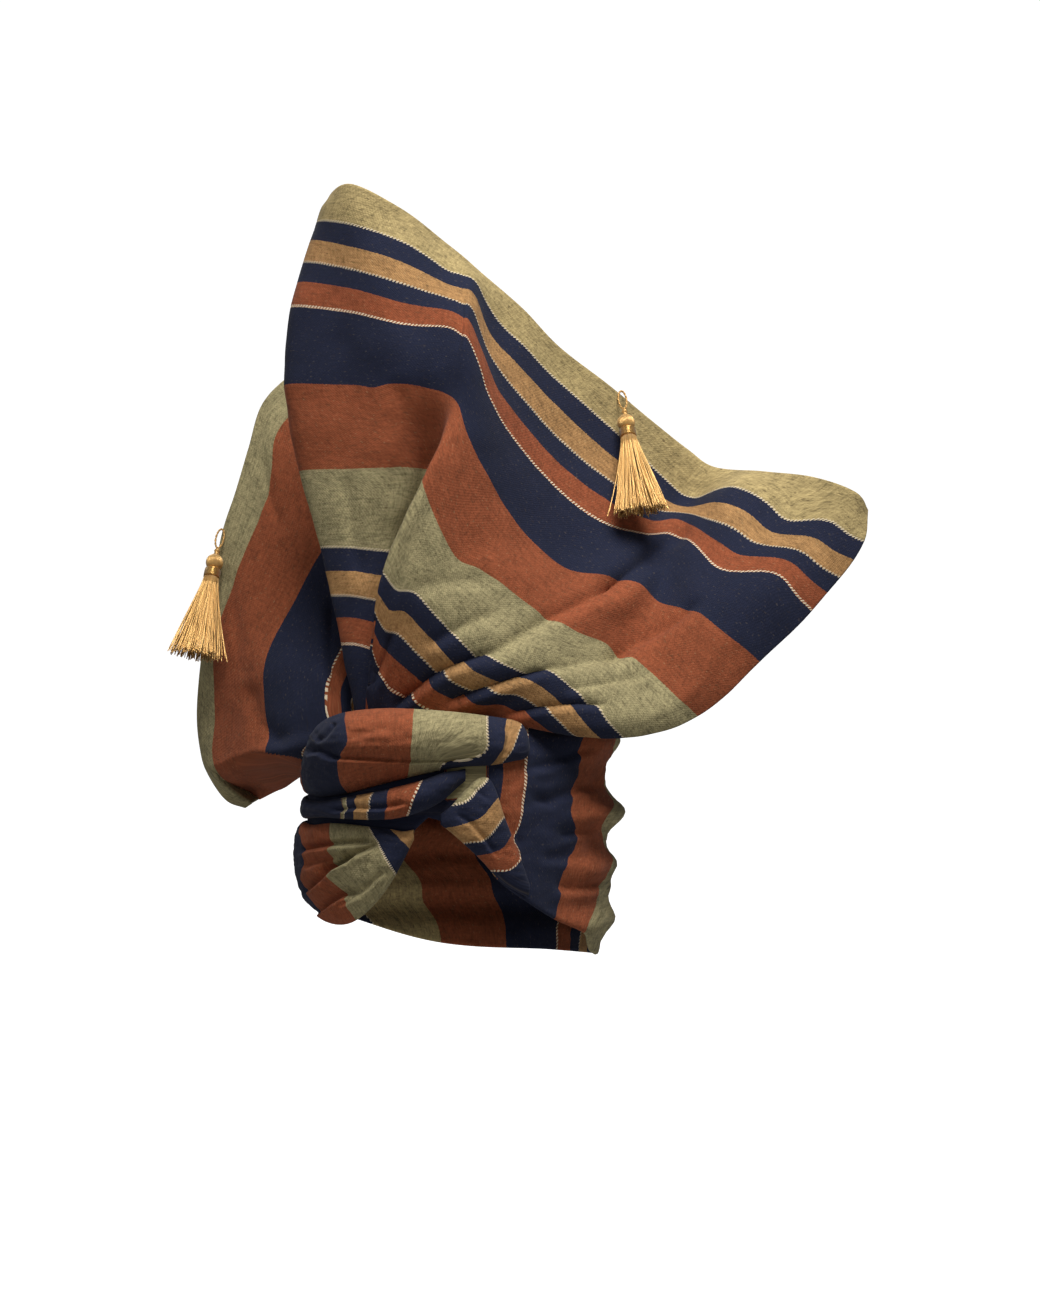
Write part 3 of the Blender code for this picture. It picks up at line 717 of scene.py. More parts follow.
def plate(borders):
    """A bending plate through borders (place in the repeat, seen points); it is read with drawn places."""
    known, values = [], []
    for value, line in borders:
        for place in seen(*line):
            known.append(place)
            values.append(value)
    known, values = np.array(known), np.array(values, float)
    count = len(known)

    def kernel(a, b):
        squared = ((a[:, None] - b[None]) ** 2).sum(-1)
        return squared * np.log(squared + 1e-9)

    flat = np.column_stack([np.ones(count), known])
    system = np.zeros((count + 3, count + 3))
    system[:count, :count] = kernel(known, known) + np.eye(count) * 4
    system[:count, count:] = flat
    system[count:, :count] = flat.T
    weights = np.linalg.solve(system, np.concatenate([values, np.zeros(3)]))

    def read(places):
        asked = places.reshape(-1, 2)
        found = kernel(asked, known) @ weights[:count]
        found += np.column_stack([np.ones(len(asked)), asked]) @ weights[count:]
        return found.reshape(places.shape[:-1])

    return read


def stripe_places(surface, turn, borders, shown):
    """Places in the repeat over a wound surface; shown is the range of turns that the picture shows."""
    kept = np.clip(turn, *shown)
    return plate(borders)(on_drawing(surface(kept))) + (turn - kept) * ROUND_RATE


BAND_BORDERS = (
    (76, [(488, 745), (486, 780), (484, 815), (492, 845)]),
    (89, [(502, 745), (502, 787), (500, 811), (507, 832), (513, 856)]),
    (104, [(527, 735), (527, 753), (526, 781), (523, 807), (519, 827), (514, 840), (521, 862), (530, 890)]),
    (150, [(583, 725), (582, 742), (577, 776), (573, 817), (578, 828), (574, 850), (564, 871), (558, 907)]),
    (
        200,
        [
            (617, 725), (616, 742), (603, 783), (614, 804), (604, 824), (602, 841), (612, 854), (607, 876),
            (598, 891), (594, 914), (586, 931),
        ],
    ),
)
BAND_SHOWN = (-30, 96)
print("border points on the band:", sum(len(line) for _, line in BAND_BORDERS))

# %% [markdown]
# The crown is made as one closed sheet: outside, inside, and a soft rolled edge round the face and the nape.
# Its seam of stripes, where the cloth's end laps over itself, is put behind the wearer's right ear.

# %% The crown and its side band
WRAP_TURNS = 300
WRAP_ROWS = 74
SMOOTH_AT_RIM = 6
SMOOTH_AT_TOP = 3
FLAT_TOP_FROM = -14
FLAT_TOP_EASE = 15
LAP_TURN = -98
BROW_NAVY_BELOW = -101
STRAIGHTENS_WITHIN = 60
# The sage corner by the brow roll lies in shadow and takes the darker sage as painted shade.
SHADED_SAGE_CORNER = ((447, 800), (488, 762))
# Under the rolls the wrap is given navy as painted shade for the dark gap between them.
NAVY_SHADE_UNDER_ROLLS = {"before_turn": 40, "above": -100, "place": 80}
BESIDE_BROW = {"before_turn": 60, "place": 106}
SHADED_SAGE_PLACE = 225
LINING_AT = 400
BAND_CREASES = (
    # depth, width, step, seen line
    (2.8, 2.0, 1.6, [(520, 770), (548, 766), (580, 752), (606, 748)]),
    (2.6, 2.0, 1.4, [(526, 800), (552, 802), (578, 790), (608, 786)]),
    (1.8, 1.7, 1.0, [(500, 811), (506, 822), (514, 834), (524, 852)]),
    (2.4, 2.2, 1.2, [(556, 838), (580, 832), (608, 826)]),
    (2.6, 2.4, 1.2, [(552, 888), (580, 888), (608, 884)]),
    (2.2, 2.0, 1.2, [(540, 734), (566, 730), (596, 728)]),
    (1.6, 2.4, 0.8, [(536, 860), (566, 858), (600, 858)]),
)


def make_crown():
    turns = np.linspace(0, 360, WRAP_TURNS, endpoint=False) + LAP_TURN
    rim = through(*zip(*RIM), (turns - PEAK_TURN) % 360 + PEAK_TURN)
    share = np.concatenate([[0, 0.002, 0.006], np.linspace(0.014, 1, WRAP_ROWS)])[None, :]
    height = rim + (CROWN_UP - rim) * (1 - (1 - share) ** 1.6)
    turn = np.broadcast_to(turns[:, None], height.shape)

    def surface(kept):
        return wrap_point(kept, height)

    def unpleated(kept):
        return wrap_point(kept, height, pleated=False)

    outer = surface(turn)
    relief = wrinkles(outer, (26, 1, 3, 1.1), (13, 2.6, 5, 0.9))
    front = (outer @ TO_EYE) > 0
    relief += np.where(front, crease_relief(on_drawing(outer), BAND_CREASES), 0)
    from_rim = height - rim
    relief *= smooth_step(from_rim / SMOOTH_AT_RIM) * smooth_step((CROWN_UP - height) / SMOOTH_AT_TOP)
    middle = wrap_point(turn, height, relief - WRAP_WALL / 2)
    middle[:, -1] = (0, 0, CROWN_UP - WRAP_WALL / 2)
    edge = rounded(from_rim, WRAP_WALL / 2)
    outwards = unit(wrap_point(turn, height, 1.0) - wrap_point(turn, height, 0.0) + [0, 0, 1e-6])
    lean = smooth_step((height - FLAT_TOP_FROM) / FLAT_TOP_EASE)[..., None]
    outwards = unit(outwards * (1 - lean) + np.array([0, 0, 1]) * lean)
    places = stripe_places(surface, turn, BAND_BORDERS, BAND_SHOWN)
    # Past the side that the picture shows, the stripes straighten out.
    flat = stripe_places(unpleated, turn, BAND_BORDERS, BAND_SHOWN)
    places += (flat - places) * smooth_step((turn - BAND_SHOWN[1]) / STRAIGHTENS_WITHIN)
    # Under the rolls the wrap is painted navy as painted shade, so that only a dark line shows between them.
    painted_gap_shade = (turn < NAVY_SHADE_UNDER_ROLLS["before_turn"]) & (height > NAVY_SHADE_UNDER_ROLLS["above"])
    places = np.where(painted_gap_shade, np.maximum(places, NAVY_SHADE_UNDER_ROLLS["place"]), places)
    beside = (turn > 0) & (turn < BESIDE_BROW["before_turn"]) & (height < BROW_NAVY_BELOW)
    places = np.where(beside, np.maximum(places, BESIDE_BROW["place"]), places)
    # Between the middle roll and the brow roll a little of the sage looks out. It is given the darker,
    # greener sage as painted shade, since it lies in shadow.
    low, high = seen(*SHADED_SAGE_CORNER)
    drawn = on_drawing(outer)
    corner = ((drawn > low) & (drawn < high)).all(axis=-1)
    places = np.where(front & corner, SHADED_SAGE_PLACE, places)
    rows, columns = turn.shape
    # The lap is left open in the list of rows and closed again by a repeated first row.
    stack = [middle + outwards * edge[..., None], middle - outwards * edge[..., None]]
    points = np.vstack([np.concatenate([part, part[:1]]).reshape(-1, 3) for part in stack])
    marks = []
    for at in (0, LINING_AT):
        mark = np.stack([height + at, places], -1)
        marks.append(np.concatenate([mark, 2 * mark[-1:] - mark[-2:-1]]).reshape(-1, 2))
    count = (rows + 1) * columns
    faces = np.vstack([grid_faces(rows + 1, columns), grid_faces(rows + 1, columns, count, turned=True)])
    crown = mesh_piece("crown_cloth", points, faces, np.vstack(marks), striped, CLOTH_JOIN)
    return settle(crown, "crown_wrap")


crown_cloth = make_crown()

# %% [markdown]
# Four rolls of cloth are wound over the brow and the wearer's right side. Each is a soft tube that lies on
# the wrap: half an oval in section, flat beneath, thin at its ends. Small gathers run across them where the
# cloth was twisted.

# %% The wound rolls
GAP = 0.3
FOLD_EDGE = 0.8
ROLL_STATIONS = 380
BROW_STATIONS = 110
ROLL_AROUND = 120
ROLL_UNDER = 7
ROLL_JOIN = 0.005
ROLL_SHOWN = (-62, 60)
ANY_PLACE = (-2000, 2000)
UPPER_FOLD = (
    # turn, lower, upper, bulge, lift
    (-165, -40, -36, 1, 0), (-145, -46, -31, 2, 0), (-120, -51, -27, 3, 0), (-95, -54, -25, 3, 1),
    (-75, -55, -22, 4, 2), (-58, -56, -15, 6, 3), (-42, -56, -10, 14, 7), (-28, -53, -8, 20, 10),
    (-12, -47, -7, 22, 11), (4, -41, -7, 21, 9), (18, -37, -8, 17, 7), (30, -36, -9, 12, 4),
    (38, -34, -10, 9, 2), (43, -32, -12, 6, 1), (45, -28, -15, 2, 0),
)
MIDDLE_FOLD = (
    # turn, lower, upper, bulge, lift
    (-165, -62, -58, 1, 0), (-145, -66, -56, 2, 0), (-120, -70, -56, 3, 0), (-95, -71, -57, 3, 0),
    (-75, -71, -58, 3, 0), (-58, -70, -59, 5, 0), (-42, -68, -58, 8, 0), (-24, -68, -54, 12, 0),
    (-8, -67, -49, 13, 0), (4, -62, -44, 13, 0), (11, -56, -40, 11, 0), (16, -49, -39, 6, 0),
    (19, -45, -38, 3, 0),
)
LOWER_FOLD = (
    # turn, lower, upper, bulge, lift
    (-165, -94, -88, 1, 0), (-145, -104, -82, 2, 0), (-120, -109, -76, 3, 0), (-100, -108, -74, 4, 0),
    (-80, -108, -73, 6, 0), (-66, -114, -73, 8, 0), (-52, -124, -73, 9, 0), (-39, -130, -71, 9, 0),
    (-27, -128, -71, 9, 0), (-17, -118, -72, 8, 0), (-9, -104, -73, 7, 0), (-4, -91, -74, 5, 0),
    (0, -79, -73, 2, 0),
)
BROW_FOLD = (
    # turn, lower, upper, bulge, lift
    (10, -70, -64, 2, 0), (14, -75, -59, 6, 0), (19, -82, -50, 8, 0), (25, -91, -43, 8, 0),
    (29, -98, -46, 8, 0), (33, -104, -64, 7, 0), (38, -109, -84, 6, 0), (43, -113, -103, 3, 0),
)
UPPER_BORDERS = (
    (104, [(312, 742), (309, 765)]),
    (150, [(345, 717), (346, 730), (347, 744), (339, 755), (338, 770), (341, 785), (350, 796)]),
    (200, [(414, 708), (412, 736), (410, 762), (408, 774)]),
    (248, [(487, 714), (487, 737), (484, 752), (462, 760), (440, 767)]),
    (262, [(506, 718), (505, 733), (503, 749), (496, 760)]),
    (276, [(522, 720), (518, 733), (512, 751), (502, 763)]),
)
MIDDLE_BORDERS = (
    (248, [(346, 795), (345, 807), (344, 818)]),
    (262, [(354, 798), (353, 818)]),
    (276, [(371, 794), (367, 820)]),
    (289, [(390, 785), (386, 803), (385, 820)]),
    (304, [(426, 772), (417, 790), (409, 812)]),
    (345, [(475, 760), (462, 790), (450, 812)]),
)
LOWER_BORDERS = (
    (150, [(300, 840), (303, 862), (300, 880), (308, 897), (314, 908)]),
    (200, [(330, 818), (328, 840), (328, 874), (339, 890), (347, 907), (357, 922)]),
    (248, [(366, 820), (375, 840), (383, 855), (390, 867), (396, 876)]),
    (262, [(383, 820), (394, 835), (406, 846)]),
    (276, [(406, 819), (419, 826)]),
)
BROW_BORDERS = (
    (248, [(444, 805), (465, 801), (478, 788), (487, 779), (488, 768)]),
    (262, [(453, 826), (471, 821), (484, 814), (491, 805)]),
    (276, [(469, 842), (484, 840), (493, 831), (501, 820)]),
    (289, [(480, 855), (495, 852), (506, 845), (510, 838)]),
    (304, [(493, 871), (510, 870), (520, 861), (523, 850)]),
    (327, [(516, 886), (534, 880), (546, 894)]),
)
UPPER_CREASES = (
    (3.4, 1.3, 1.8, [(318, 756), (338, 758), (409, 761), (449, 760), (486, 752)]),
    (3.6, 2.0, 1.6, [(303, 752), (318, 750), (330, 756), (340, 760)]),
    (2.6, 1.8, 1.0, [(312, 742), (322, 738), (336, 722)]),
    (1.4, 2.6, 0.6, [(345, 740), (372, 730), (396, 728)]),
    (2.4, 1.6, 1.0, [(506, 722), (510, 736), (506, 752), (494, 764)]),
    (1.2, 3.0, 0.6, [(352, 776), (380, 772), (404, 768)]),
)
MIDDLE_CREASES = (
    (2.4, 1.5, 1.0, [(345, 800), (370, 792), (400, 786), (430, 776)]),
    (2.6, 1.7, 1.2, [(322, 812), (352, 808), (380, 808), (410, 802)]),
    (1.8, 1.6, 0.8, [(436, 800), (452, 790), (470, 778)]),
)
LOWER_CREASES = (
    (5.4, 1.8, 2.6, [(294, 854), (306, 848), (330, 844), (373, 841)]),
    (5.4, 1.9, 2.6, [(314, 876), (328, 867), (354, 853), (380, 843)]),
    (5.0, 1.8, 2.4, [(298, 894), (314, 883), (330, 868), (354, 855)]),
    (5.0, 2.0, 2.4, [(306, 920), (320, 908), (338, 896), (360, 890)]),
    (2.6, 2.2, 1.2, [(336, 908), (362, 890), (388, 866)]),
    (2.4, 1.6, 1.2, [(376, 826), (398, 836), (414, 838)]),
    (2.6, 2.0, 1.2, [(300, 868), (318, 860), (340, 856)]),
    (1.8, 2.0, 0.8, [(366, 905), (380, 888), (394, 868)]),
)
BROW_CREASES = (
    (2.0, 1.8, 0.8, [(452, 812), (470, 822), (488, 842), (500, 860)]),
    (1.8, 1.6, 0.8, [(452, 786), (472, 790), (492, 800)]),
)
LOBE_END = seen((341, 0))[0][0]
TAIL_START = seen((0, 875))[0][1]
WIDE_NAVY = 327


def roll_rows(table, stations):
    """The columns of a roll's table, read smoothly at many turns."""
    rows = np.array(table, float)
    turns = np.linspace(rows[0, 0], rows[-1, 0], stations)
    return turns, *through(rows[:, 0], rows[:, 1:], turns).T


def make_roll(
    name, node_name, table, borders, creases, stations=ROLL_STATIONS, navy=None, between=ANY_PLACE
):
    turns, lower, upper, bulge, lift = roll_rows(table, stations)
    flat_side = np.linspace(math.pi, 2 * math.pi, ROLL_UNDER)[1:-1]
    phase = np.concatenate([np.linspace(0, math.pi, ROLL_AROUND), flat_side])
    middle, half = (upper + lower) / 2, (upper - lower) / 2
    height = middle[:, None] - half[:, None] * np.cos(phase)
    roll = np.where(phase <= math.pi, np.clip(np.sin(phase), 0, 1) ** 0.8, 0)
    above = np.where(phase <= math.pi, FOLD_EDGE, 0)
    turn = np.broadcast_to(turns[:, None], height.shape)

    def surface(kept, more=0.0):
        made = wrap_point(kept, height, GAP + above + bulge[:, None] * roll + more)
        made[..., 2] += lift[:, None] * roll
        return made

    ring = surface(turn)
    relief = crease_relief(on_drawing(ring), creases) * ((ring @ TO_EYE) > 0)
    relief += wrinkles(ring, (17, 1, len(name), 1.1), (8, 2.5, 9, 0.6))
    # The ends and the edges stay thin, and the flat underside stays flat.
    depth = np.minimum(bulge / 6, 1)[:, None] * np.clip(np.sin(phase), 0, 1) ** 0.5
    ring = surface(turn, relief * depth)
    places = stripe_places(surface, turn, borders, ROLL_SHOWN)
    places = np.where(turn > ROLL_SHOWN[0], np.clip(places, *between), places)
    if navy:
        across, up = np.moveaxis(on_drawing(surface(np.clip(turn, *ROLL_SHOWN))), -1, 0)
        places = np.where(navy(across, up), WIDE_NAVY, places)
    closed, places = [np.concatenate([part, part[:, :1]], axis=1) for part in (ring, places)]
    marks = np.stack([lengths(closed, 1), places], -1)
    columns = closed.shape[1]
    faces = [tuple(face) for face in grid_faces(stations, columns)]
    for first in (0, (stations - 1) * columns):
        faces.append(tuple(range(first, first + columns - 1)))
    piece = mesh_piece(name, closed.reshape(-1, 3), faces, marks.reshape(-1, 2), striped, ROLL_JOIN)
    return settle(piece, node_name)


upper_roll = make_roll(
    "upper_roll", "upper_fold", UPPER_FOLD, UPPER_BORDERS, UPPER_CREASES, between=(106, 287)
)
# The left lobe of the middle roll and the tail of the brow roll lie in the wide navy stripe.
middle_roll = make_roll(
    "middle_roll", "middle_fold", MIDDLE_FOLD, MIDDLE_BORDERS, MIDDLE_CREASES,
    navy=lambda across, up: across < LOBE_END,
)
lower_drape = make_roll("lower_drape", "lower_fold", LOWER_FOLD, LOWER_BORDERS, LOWER_CREASES)
brow_roll = make_roll(
    "brow_roll", "brow_fold", BROW_FOLD, BROW_BORDERS, BROW_CREASES, BROW_STATIONS,
    navy=lambda across, up: up < TAIL_START,
)

# %% [markdown]
# Each wing is a scarf end, doubled at its hem and spread from the knot like a fan. It was measured as ribs,
# the lines that run from the hem down to the knot, at the points where they cross the borders of the
# stripes. So a border of the drawing is a border of the cloth, and the stripes come out where they belong.
# A cloth simulation would slide them about, and the stiff cotton holds its shape, so it is modelled.

# %% The ribs of the wings
FRONT_LINES = (0, 24, 80, 126, 176, 224)
FRONT_WING = (
    # root_at, hem, line_24, line_80, line_126, line_176, line_224, root
    (335, (-69, 290, -6), (-70, 276, -8), (-82, 226, -2),
        (-86, 182, 6), (-78, 134, 20), (-67, 90, 36), (-53, -26, 57)),
    (335, (-77, 301, 22), (-82, 289, 26), (-98, 238, 34),
        (-101, 191, 40), (-92, 139, 44), (-81, 93, 52), (-56, -26, 60)),
    (335, (-64, 313, 50), (-64, 289, 54), (-63, 235, 60),
        (-65, 191, 62), (-65, 140, 64), (-63, 93, 65), (-56, -26, 65)),
    (330, (-33, 298, 54), (-33, 278, 60), (-33, 228, 74),
        (-33, 192, 76), (-36, 141, 70), (-42, 91, 63), (-52, -26, 66)),
    (320, (-6, 277, 34), (-7, 261, 50), (-6, 226, 70),
        (-16, 189, 72), (-18, 140, 54), (-27, 91, 47), (-48, -26, 61)),
    (318, (5, 268, 27), (3, 257, 46), (4, 221, 73),
        (-6, 186, 75), (-7, 137, 71), (-18, 87, 66), (-44, -26, 66)),
    (372, (16, 258, 24), (12, 252, 44), (8, 216, 74),
        (2, 179, 80), (-19, 133, 99), (-41, 80, 99), (-54, -26, 74)),
    (335, (41, 237, 14), (26, 229, 30), (21, 181, 64),
        (8, 158, 82), (-14, 114, 98), (-36, 68, 100), (-54, -26, 76)),
    (312, (63, 214, 0), (50, 205, 14), (38, 154, 46),
        (24, 127, 68), (0, 87, 90), (-24, 65, 100), (-50, -26, 74)),
    (312, (93, 191, -18), (79, 178, -6), (61, 128, 30),
        (42, 101, 56), (18, 78, 82), (-9, 49, 97), (-41, -26, 76)),
    (310, (117, 171, -32), (104, 156, -20), (89, 107, 18),
        (68, 79, 44), (47, 56, 70), (12, 30, 93), (-30, -25, 77)),
    (308, (141, 152, -42), (128, 133, -32), (115, 101, 6),
        (100, 75, 36), (73, 42, 64), (40, 19, 88), (-17, -24, 77)),
    (306, (158, 141, -38), (144, 123, -32), (134, 102, 0),
        (122, 62, 26), (95, 33, 52), (59, 16, 82), (-3, -22, 76)),
    (306, (188, 138, -12), (170, 128, -2), (158, 84, 30),
        (141, 57, 44), (118, 17, 58), (81, 0, 80), (8, -19, 75)),
    (306, (218, 135, 6), (203, 112, 14), (186, 76, 36),
        (162, 41, 48), (134, 2, 62), (93, -13, 79), (14, -15, 73)),
    (306, (243, 126, 12), (229, 103, 18), (203, 65, 34),
        (174, 32, 45), (141, -4, 59), (99, -19, 76), (18, -13, 68)),
    (306, (250, 115, 6), (248, 96, 14), (216, 54, 28),
        (184, 23, 40), (147, -10, 54), (103, -23, 72), (22, -10, 64)),
)
REAR_LINES = (0, 24, 74, 120)
REAR_WING = (
    # root_at, hem, line_24, line_74, line_120, root
    (160, (-127, -65, -50), (-120, -61, -44), (-97, -48, -16), (-84, -39, 10), (-60, -28, 44)),
    (160, (-139, -60, -40), (-131, -54, -28), (-104, -43, 2), (-88, -36, 26), (-60, -26, 46)),
    (160, (-150, -43, -32), (-142, -45, -14), (-113, -34, 24), (-92, -30, 40), (-58, -23, 49)),
    (160, (-154, -29, -38), (-146, -31, -20), (-113, -23, 22), (-77, -17, 48), (-56, -19, 46)),
    (162, (-156, -7, -42), (-144, -4, -24), (-115, -5, 18), (-78, -4, 46), (-54, -16, 46)),
    (172, (-153, 27, -44), (-145, 30, -28), (-114, 22, 12), (-77, 14, 40), (-52, -15, 45)),
    (180, (-147, 67, -46), (-138, 59, -30), (-105, 44, 6), (-68, 32, 31), (-51, -15, 42)),
    (190, (-141, 101, -48), (-127, 89, -34), (-96, 62, 0), (-62, 42, 22), (-50, -15, 39)),
    (200, (-133, 126, -52), (-117, 114, -40), (-86, 81, -8), (-57, 53, 10), (-50, -15, 34)),
    (215, (-125, 153, -58), (-111, 138, -46), (-76, 98, -18), (-52, 65, -2), (-50, -15, 30)),
    (230, (-117, 179, -64), (-108, 160, -54), (-71, 121, -28), (-49, 85, -12), (-49, -15, 22)),
    (250, (-101, 196, -70), (-95, 176, -60), (-67, 139, -38), (-47, 103, -24), (-47, -15, 12)),
    (260, (-78, 211, -74), (-76, 190, -66), (-60, 150, -46), (-43, 112, -34), (-44, -15, 2)),
    (265, (-54, 219, -76), (-54, 198, -70), (-50, 154, -52), (-41, 115, -40), (-40, -15, -6)),
)


def wing_ribs(lines, table, rib_places):
    """Ribs read between the table's own: for each place, its distances from the hem and its drawn points."""
    distances = np.array([list(lines) + [row[0]] for row in table], float)
    stations = np.array([row[1:] for row in table], float)
    ribs, count = distances.shape
    known = np.concatenate([distances[..., None], stations], axis=-1).reshape(ribs, -1)
    read = through(np.arange(ribs), known, rib_places).reshape(len(rib_places), count, 4)
    return read[..., 0], read[..., 1:]


print("ribs:", len(FRONT_WING), "in front,", len(REAR_WING), "behind")

# %% [markdown]
# A rib ends where it meets the crown under the upper roll, so each one is followed from the hem until it
# dips into the crown, and the cloth stops there. That way nothing of the wing shows inside the hat.
# The creases near the knot were read on the picture, like the borders.

# %% The wings
CLOTH_HALF = 1.15
LOWEST_UP = -150
NEAR_SIDE = (0.01, 0.03)
NEAR_HEM = (0, 0.3, 0.8, 1.6)
HEM_ROUND = 2.6
HEM_PLACE = 24
FRONT_CREASES = (
    (4.6, 2.8, 2.2, [(385, 716), (434, 676), (451, 668), (500, 648)]),
    (4.2, 2.6, 2.0, [(440, 706), (483, 689), (532, 674), (560, 666)]),
    (2.8, 4.0, 1.0, [(540, 670), (590, 660), (640, 652)]),
    (4.2, 4.6, 1.4, [(470, 672), (498, 650), (544, 621), (600, 592), (640, 568)]),
    (2.0, 6.0, 0.2, [(404, 588), (450, 583), (500, 578)]),
    (5.4, 5.0, 1.6, [(600, 664), (637, 641), (674, 620), (704, 596)]),
    (5.0, 6.0, 1.4, [(596, 604), (628, 574), (664, 546), (696, 520)]),
    (3.0, 2.4, 1.4, [(500, 716), (540, 708), (580, 704), (616, 706)]),
    (2.8, 2.4, 1.2, [(371, 690), (385, 660), (392, 630)]),
    (2.6, 4.0, 1.0, [(420, 650), (456, 630), (500, 610)]),
    (3.0, 7.0, 0.6, [(396, 372), (404, 410), (402, 450), (390, 510)]),
    (1.8, 5.0, 0.4, [(345, 470), (352, 520), (362, 590)]),
    (2.2, 3.0, 0.8, [(560, 690), (600, 684), (650, 676)]),
)
REAR_CREASES = (
    (1.8, 4.0, 0.6, [(262, 450), (268, 490), (284, 540)]),
    (3.0, 2.6, 1.4, [(332, 590), (328, 650), (334, 710)]),
    (2.4, 6.0, 0.4, [(246, 680), (262, 724), (290, 750)]),
    (1.6, 5.0, 0.4, [(226, 560), (236, 620), (238, 690)]),
)
FRONT_TUCKS = (
    # cloth hidden in the tuck, reach, seen line
    (2.7, 6.0, [(385, 716), (434, 676), (451, 668), (500, 648)]),
    (3.0, 6.0, [(440, 706), (483, 689), (532, 674), (560, 666)]),
    (1.6, 6.0, [(500, 716), (540, 708), (580, 704), (616, 706)]),
)
FRONT_RIPPLES = (
    # how far the stripes bend, reach, seen line
    (-4.3, 10.0, [(806, 486), (787, 520), (724, 568), (640, 608)]),
    (5.0, 12.0, [(852, 488), (832, 518), (796, 556), (760, 600)]),
    (-2.4, 7.0, [(372, 350), (374, 390), (376, 430)]),
)
# The lower corner of the rear wing turns under along this line.
UNDER_LINE = ((214, 768), (235, 757), (256, 751), (290, 753), (312, 758))
UNDER_DEPTH = 24
UNDER_REACH = 22
UNDER_FROM_HEM = 14
UNDER_EASE = 10
UNDER_PLACE = 70


def stripe_shift(places):
    """How far the stripes move at each drawn place: they jump at a tuck and bend over a ripple."""
    moved = np.zeros(places.shape[:-1])
    for amount, reach, line in FRONT_TUCKS:
        distance, side, share = line_distances(places, seen(*line))
        moved += amount * faded_ends(share, 0.15) * side * np.exp(-distance / reach)
    for amount, reach, line in FRONT_RIPPLES:
        distance, side, share = line_distances(places, seen(*line))
        moved += amount * faded_ends(share, 0.15) * np.exp(-((distance / reach) ** 2))
    return moved


def inside_wrap(points):
    """True where a model point is under the surface of the crown."""
    x, y, up = np.moveaxis(points, -1, 0)
    turn = np.degrees(np.arctan2(x / HEAD_HALF_WIDTH, -y / HEAD_HALF_DEPTH))
    surface = wrap_point(turn, np.clip(up, LOWEST_UP, CROWN_UP))
    reach = np.linalg.norm(surface[..., :2], axis=-1)
    return (up < CROWN_UP) & (np.linalg.norm(points[..., :2], axis=-1) < reach)


def rib_points(lines, table, ribs_between, rows):
    """Drawn points of the wing, with how far down its rib each lies."""
    count = len(table) - 1
    inner = np.linspace(0, count, count * ribs_between + 1)[1:-1]
    near_side = np.array(NEAR_SIDE)
    places = np.concatenate([[0], near_side, inner, count - near_side[::-1], [count]])
    share = np.linspace(0, 1, 400)
    ribs = []
    for far, rib in zip(*wing_ribs(lines, table, places)):
        long = far[-1]
        line = from_drawing(through(far / long, rib, share))
        outside = np.nonzero(~inside_wrap(line))[0]
        end = share[outside[-1]] if len(outside) else 1.0
        at = np.concatenate([np.array(NEAR_HEM) / long, np.linspace(HEM_ROUND / long, end, rows)])
        ribs.append(np.column_stack([through(far / long, rib, at), at * long]))
    return np.array(ribs)


def facing_us(grid):
    normal = sheet_normals(grid)
    return normal * np.sign((normal @ TO_EYE).mean())


def make_wing(name, node_name, lines, table, creases, ribs_between, rows, rear):
    ribs = rib_points(lines, table, ribs_between, rows)
    grid, down = from_drawing(ribs[..., :3]), ribs[..., 3]
    normal = facing_us(grid)
    drawn = on_drawing(grid)
    relief = crease_relief(drawn, creases)
    relief += wrinkles(grid, (42, 1, 2, 1.8), (17, 1, 7, 0.7))
    place = HEM_PLACE + down
    if rear:
        distance, side, share = line_distances(drawn, seen(*UNDER_LINE))
        under = np.clip(distance / UNDER_REACH, 0, 1) * (side > 0)
        under *= smooth_step((down - UNDER_FROM_HEM) / UNDER_EASE) * (share > 0)
        grid = grid - TO_EYE * (UNDER_DEPTH * under)[..., None]
        place = np.where(under > 0.02, np.minimum(place, UNDER_PLACE), place)
    else:
        place = place + stripe_shift(drawn)
    grid = grid + normal * (relief * smooth_step(down / 12))[..., None]
    along = lengths(grid, 0)
    sides = np.minimum(along, lengths(grid[::-1], 0)[::-1])
    along = along - along[len(along) // 2]
    half = np.minimum(rounded(down, CLOTH_HALF), rounded(sides, CLOTH_HALF))[..., None]
    normal = facing_us(grid)
    # The sage stripe is folded in half at the hem, and the pattern runs down both layers from there.
    shown, hidden = place, 2 * HEM_PLACE - place
    if rear:
        # The rear wing's marks move on one repeat, so that its sage is the darker, greener one, as painted
        # shade for a wing in shadow.
        shown, hidden = REPEAT + hidden, REPEAT + shown
    rib_count, columns = down.shape
    size = rib_count * columns
    faces = [grid_faces(rib_count, columns), grid_faces(rib_count, columns, start=size, turned=True)]
    last = np.arange(rib_count - 1) * columns + columns - 1
    foot = np.stack([last, last + columns, last + columns + size, last + size], -1)
    points = np.vstack([(grid + normal * out).reshape(-1, 3) for out in (half, -half)])
    marks = np.vstack([np.stack([along, mark], -1).reshape(-1, 2) for mark in (shown, hidden)])
    piece = mesh_piece(name, points, np.vstack(faces + [foot]), marks, striped, CLOTH_JOIN)
    settle(piece, node_name)


make_wing(
    "front_scarf_end", "front_wing", FRONT_LINES, FRONT_WING, FRONT_CREASES,
    ribs_between=17, rows=132, rear=False,
)
make_wing(
    "rear_scarf_end", "rear_wing", REAR_LINES, REAR_WING, REAR_CREASES,
    ribs_between=16, rows=100, rear=True,
)

# %% [markdown]
# The crown and the rolls are cloth too, wound instead of gathered. The length of the crown round the head
# and of each roll round the wrap is worked out: the size each would have if it were unwound.

# %% The wound cloth measured
GIRTH_UP = -100


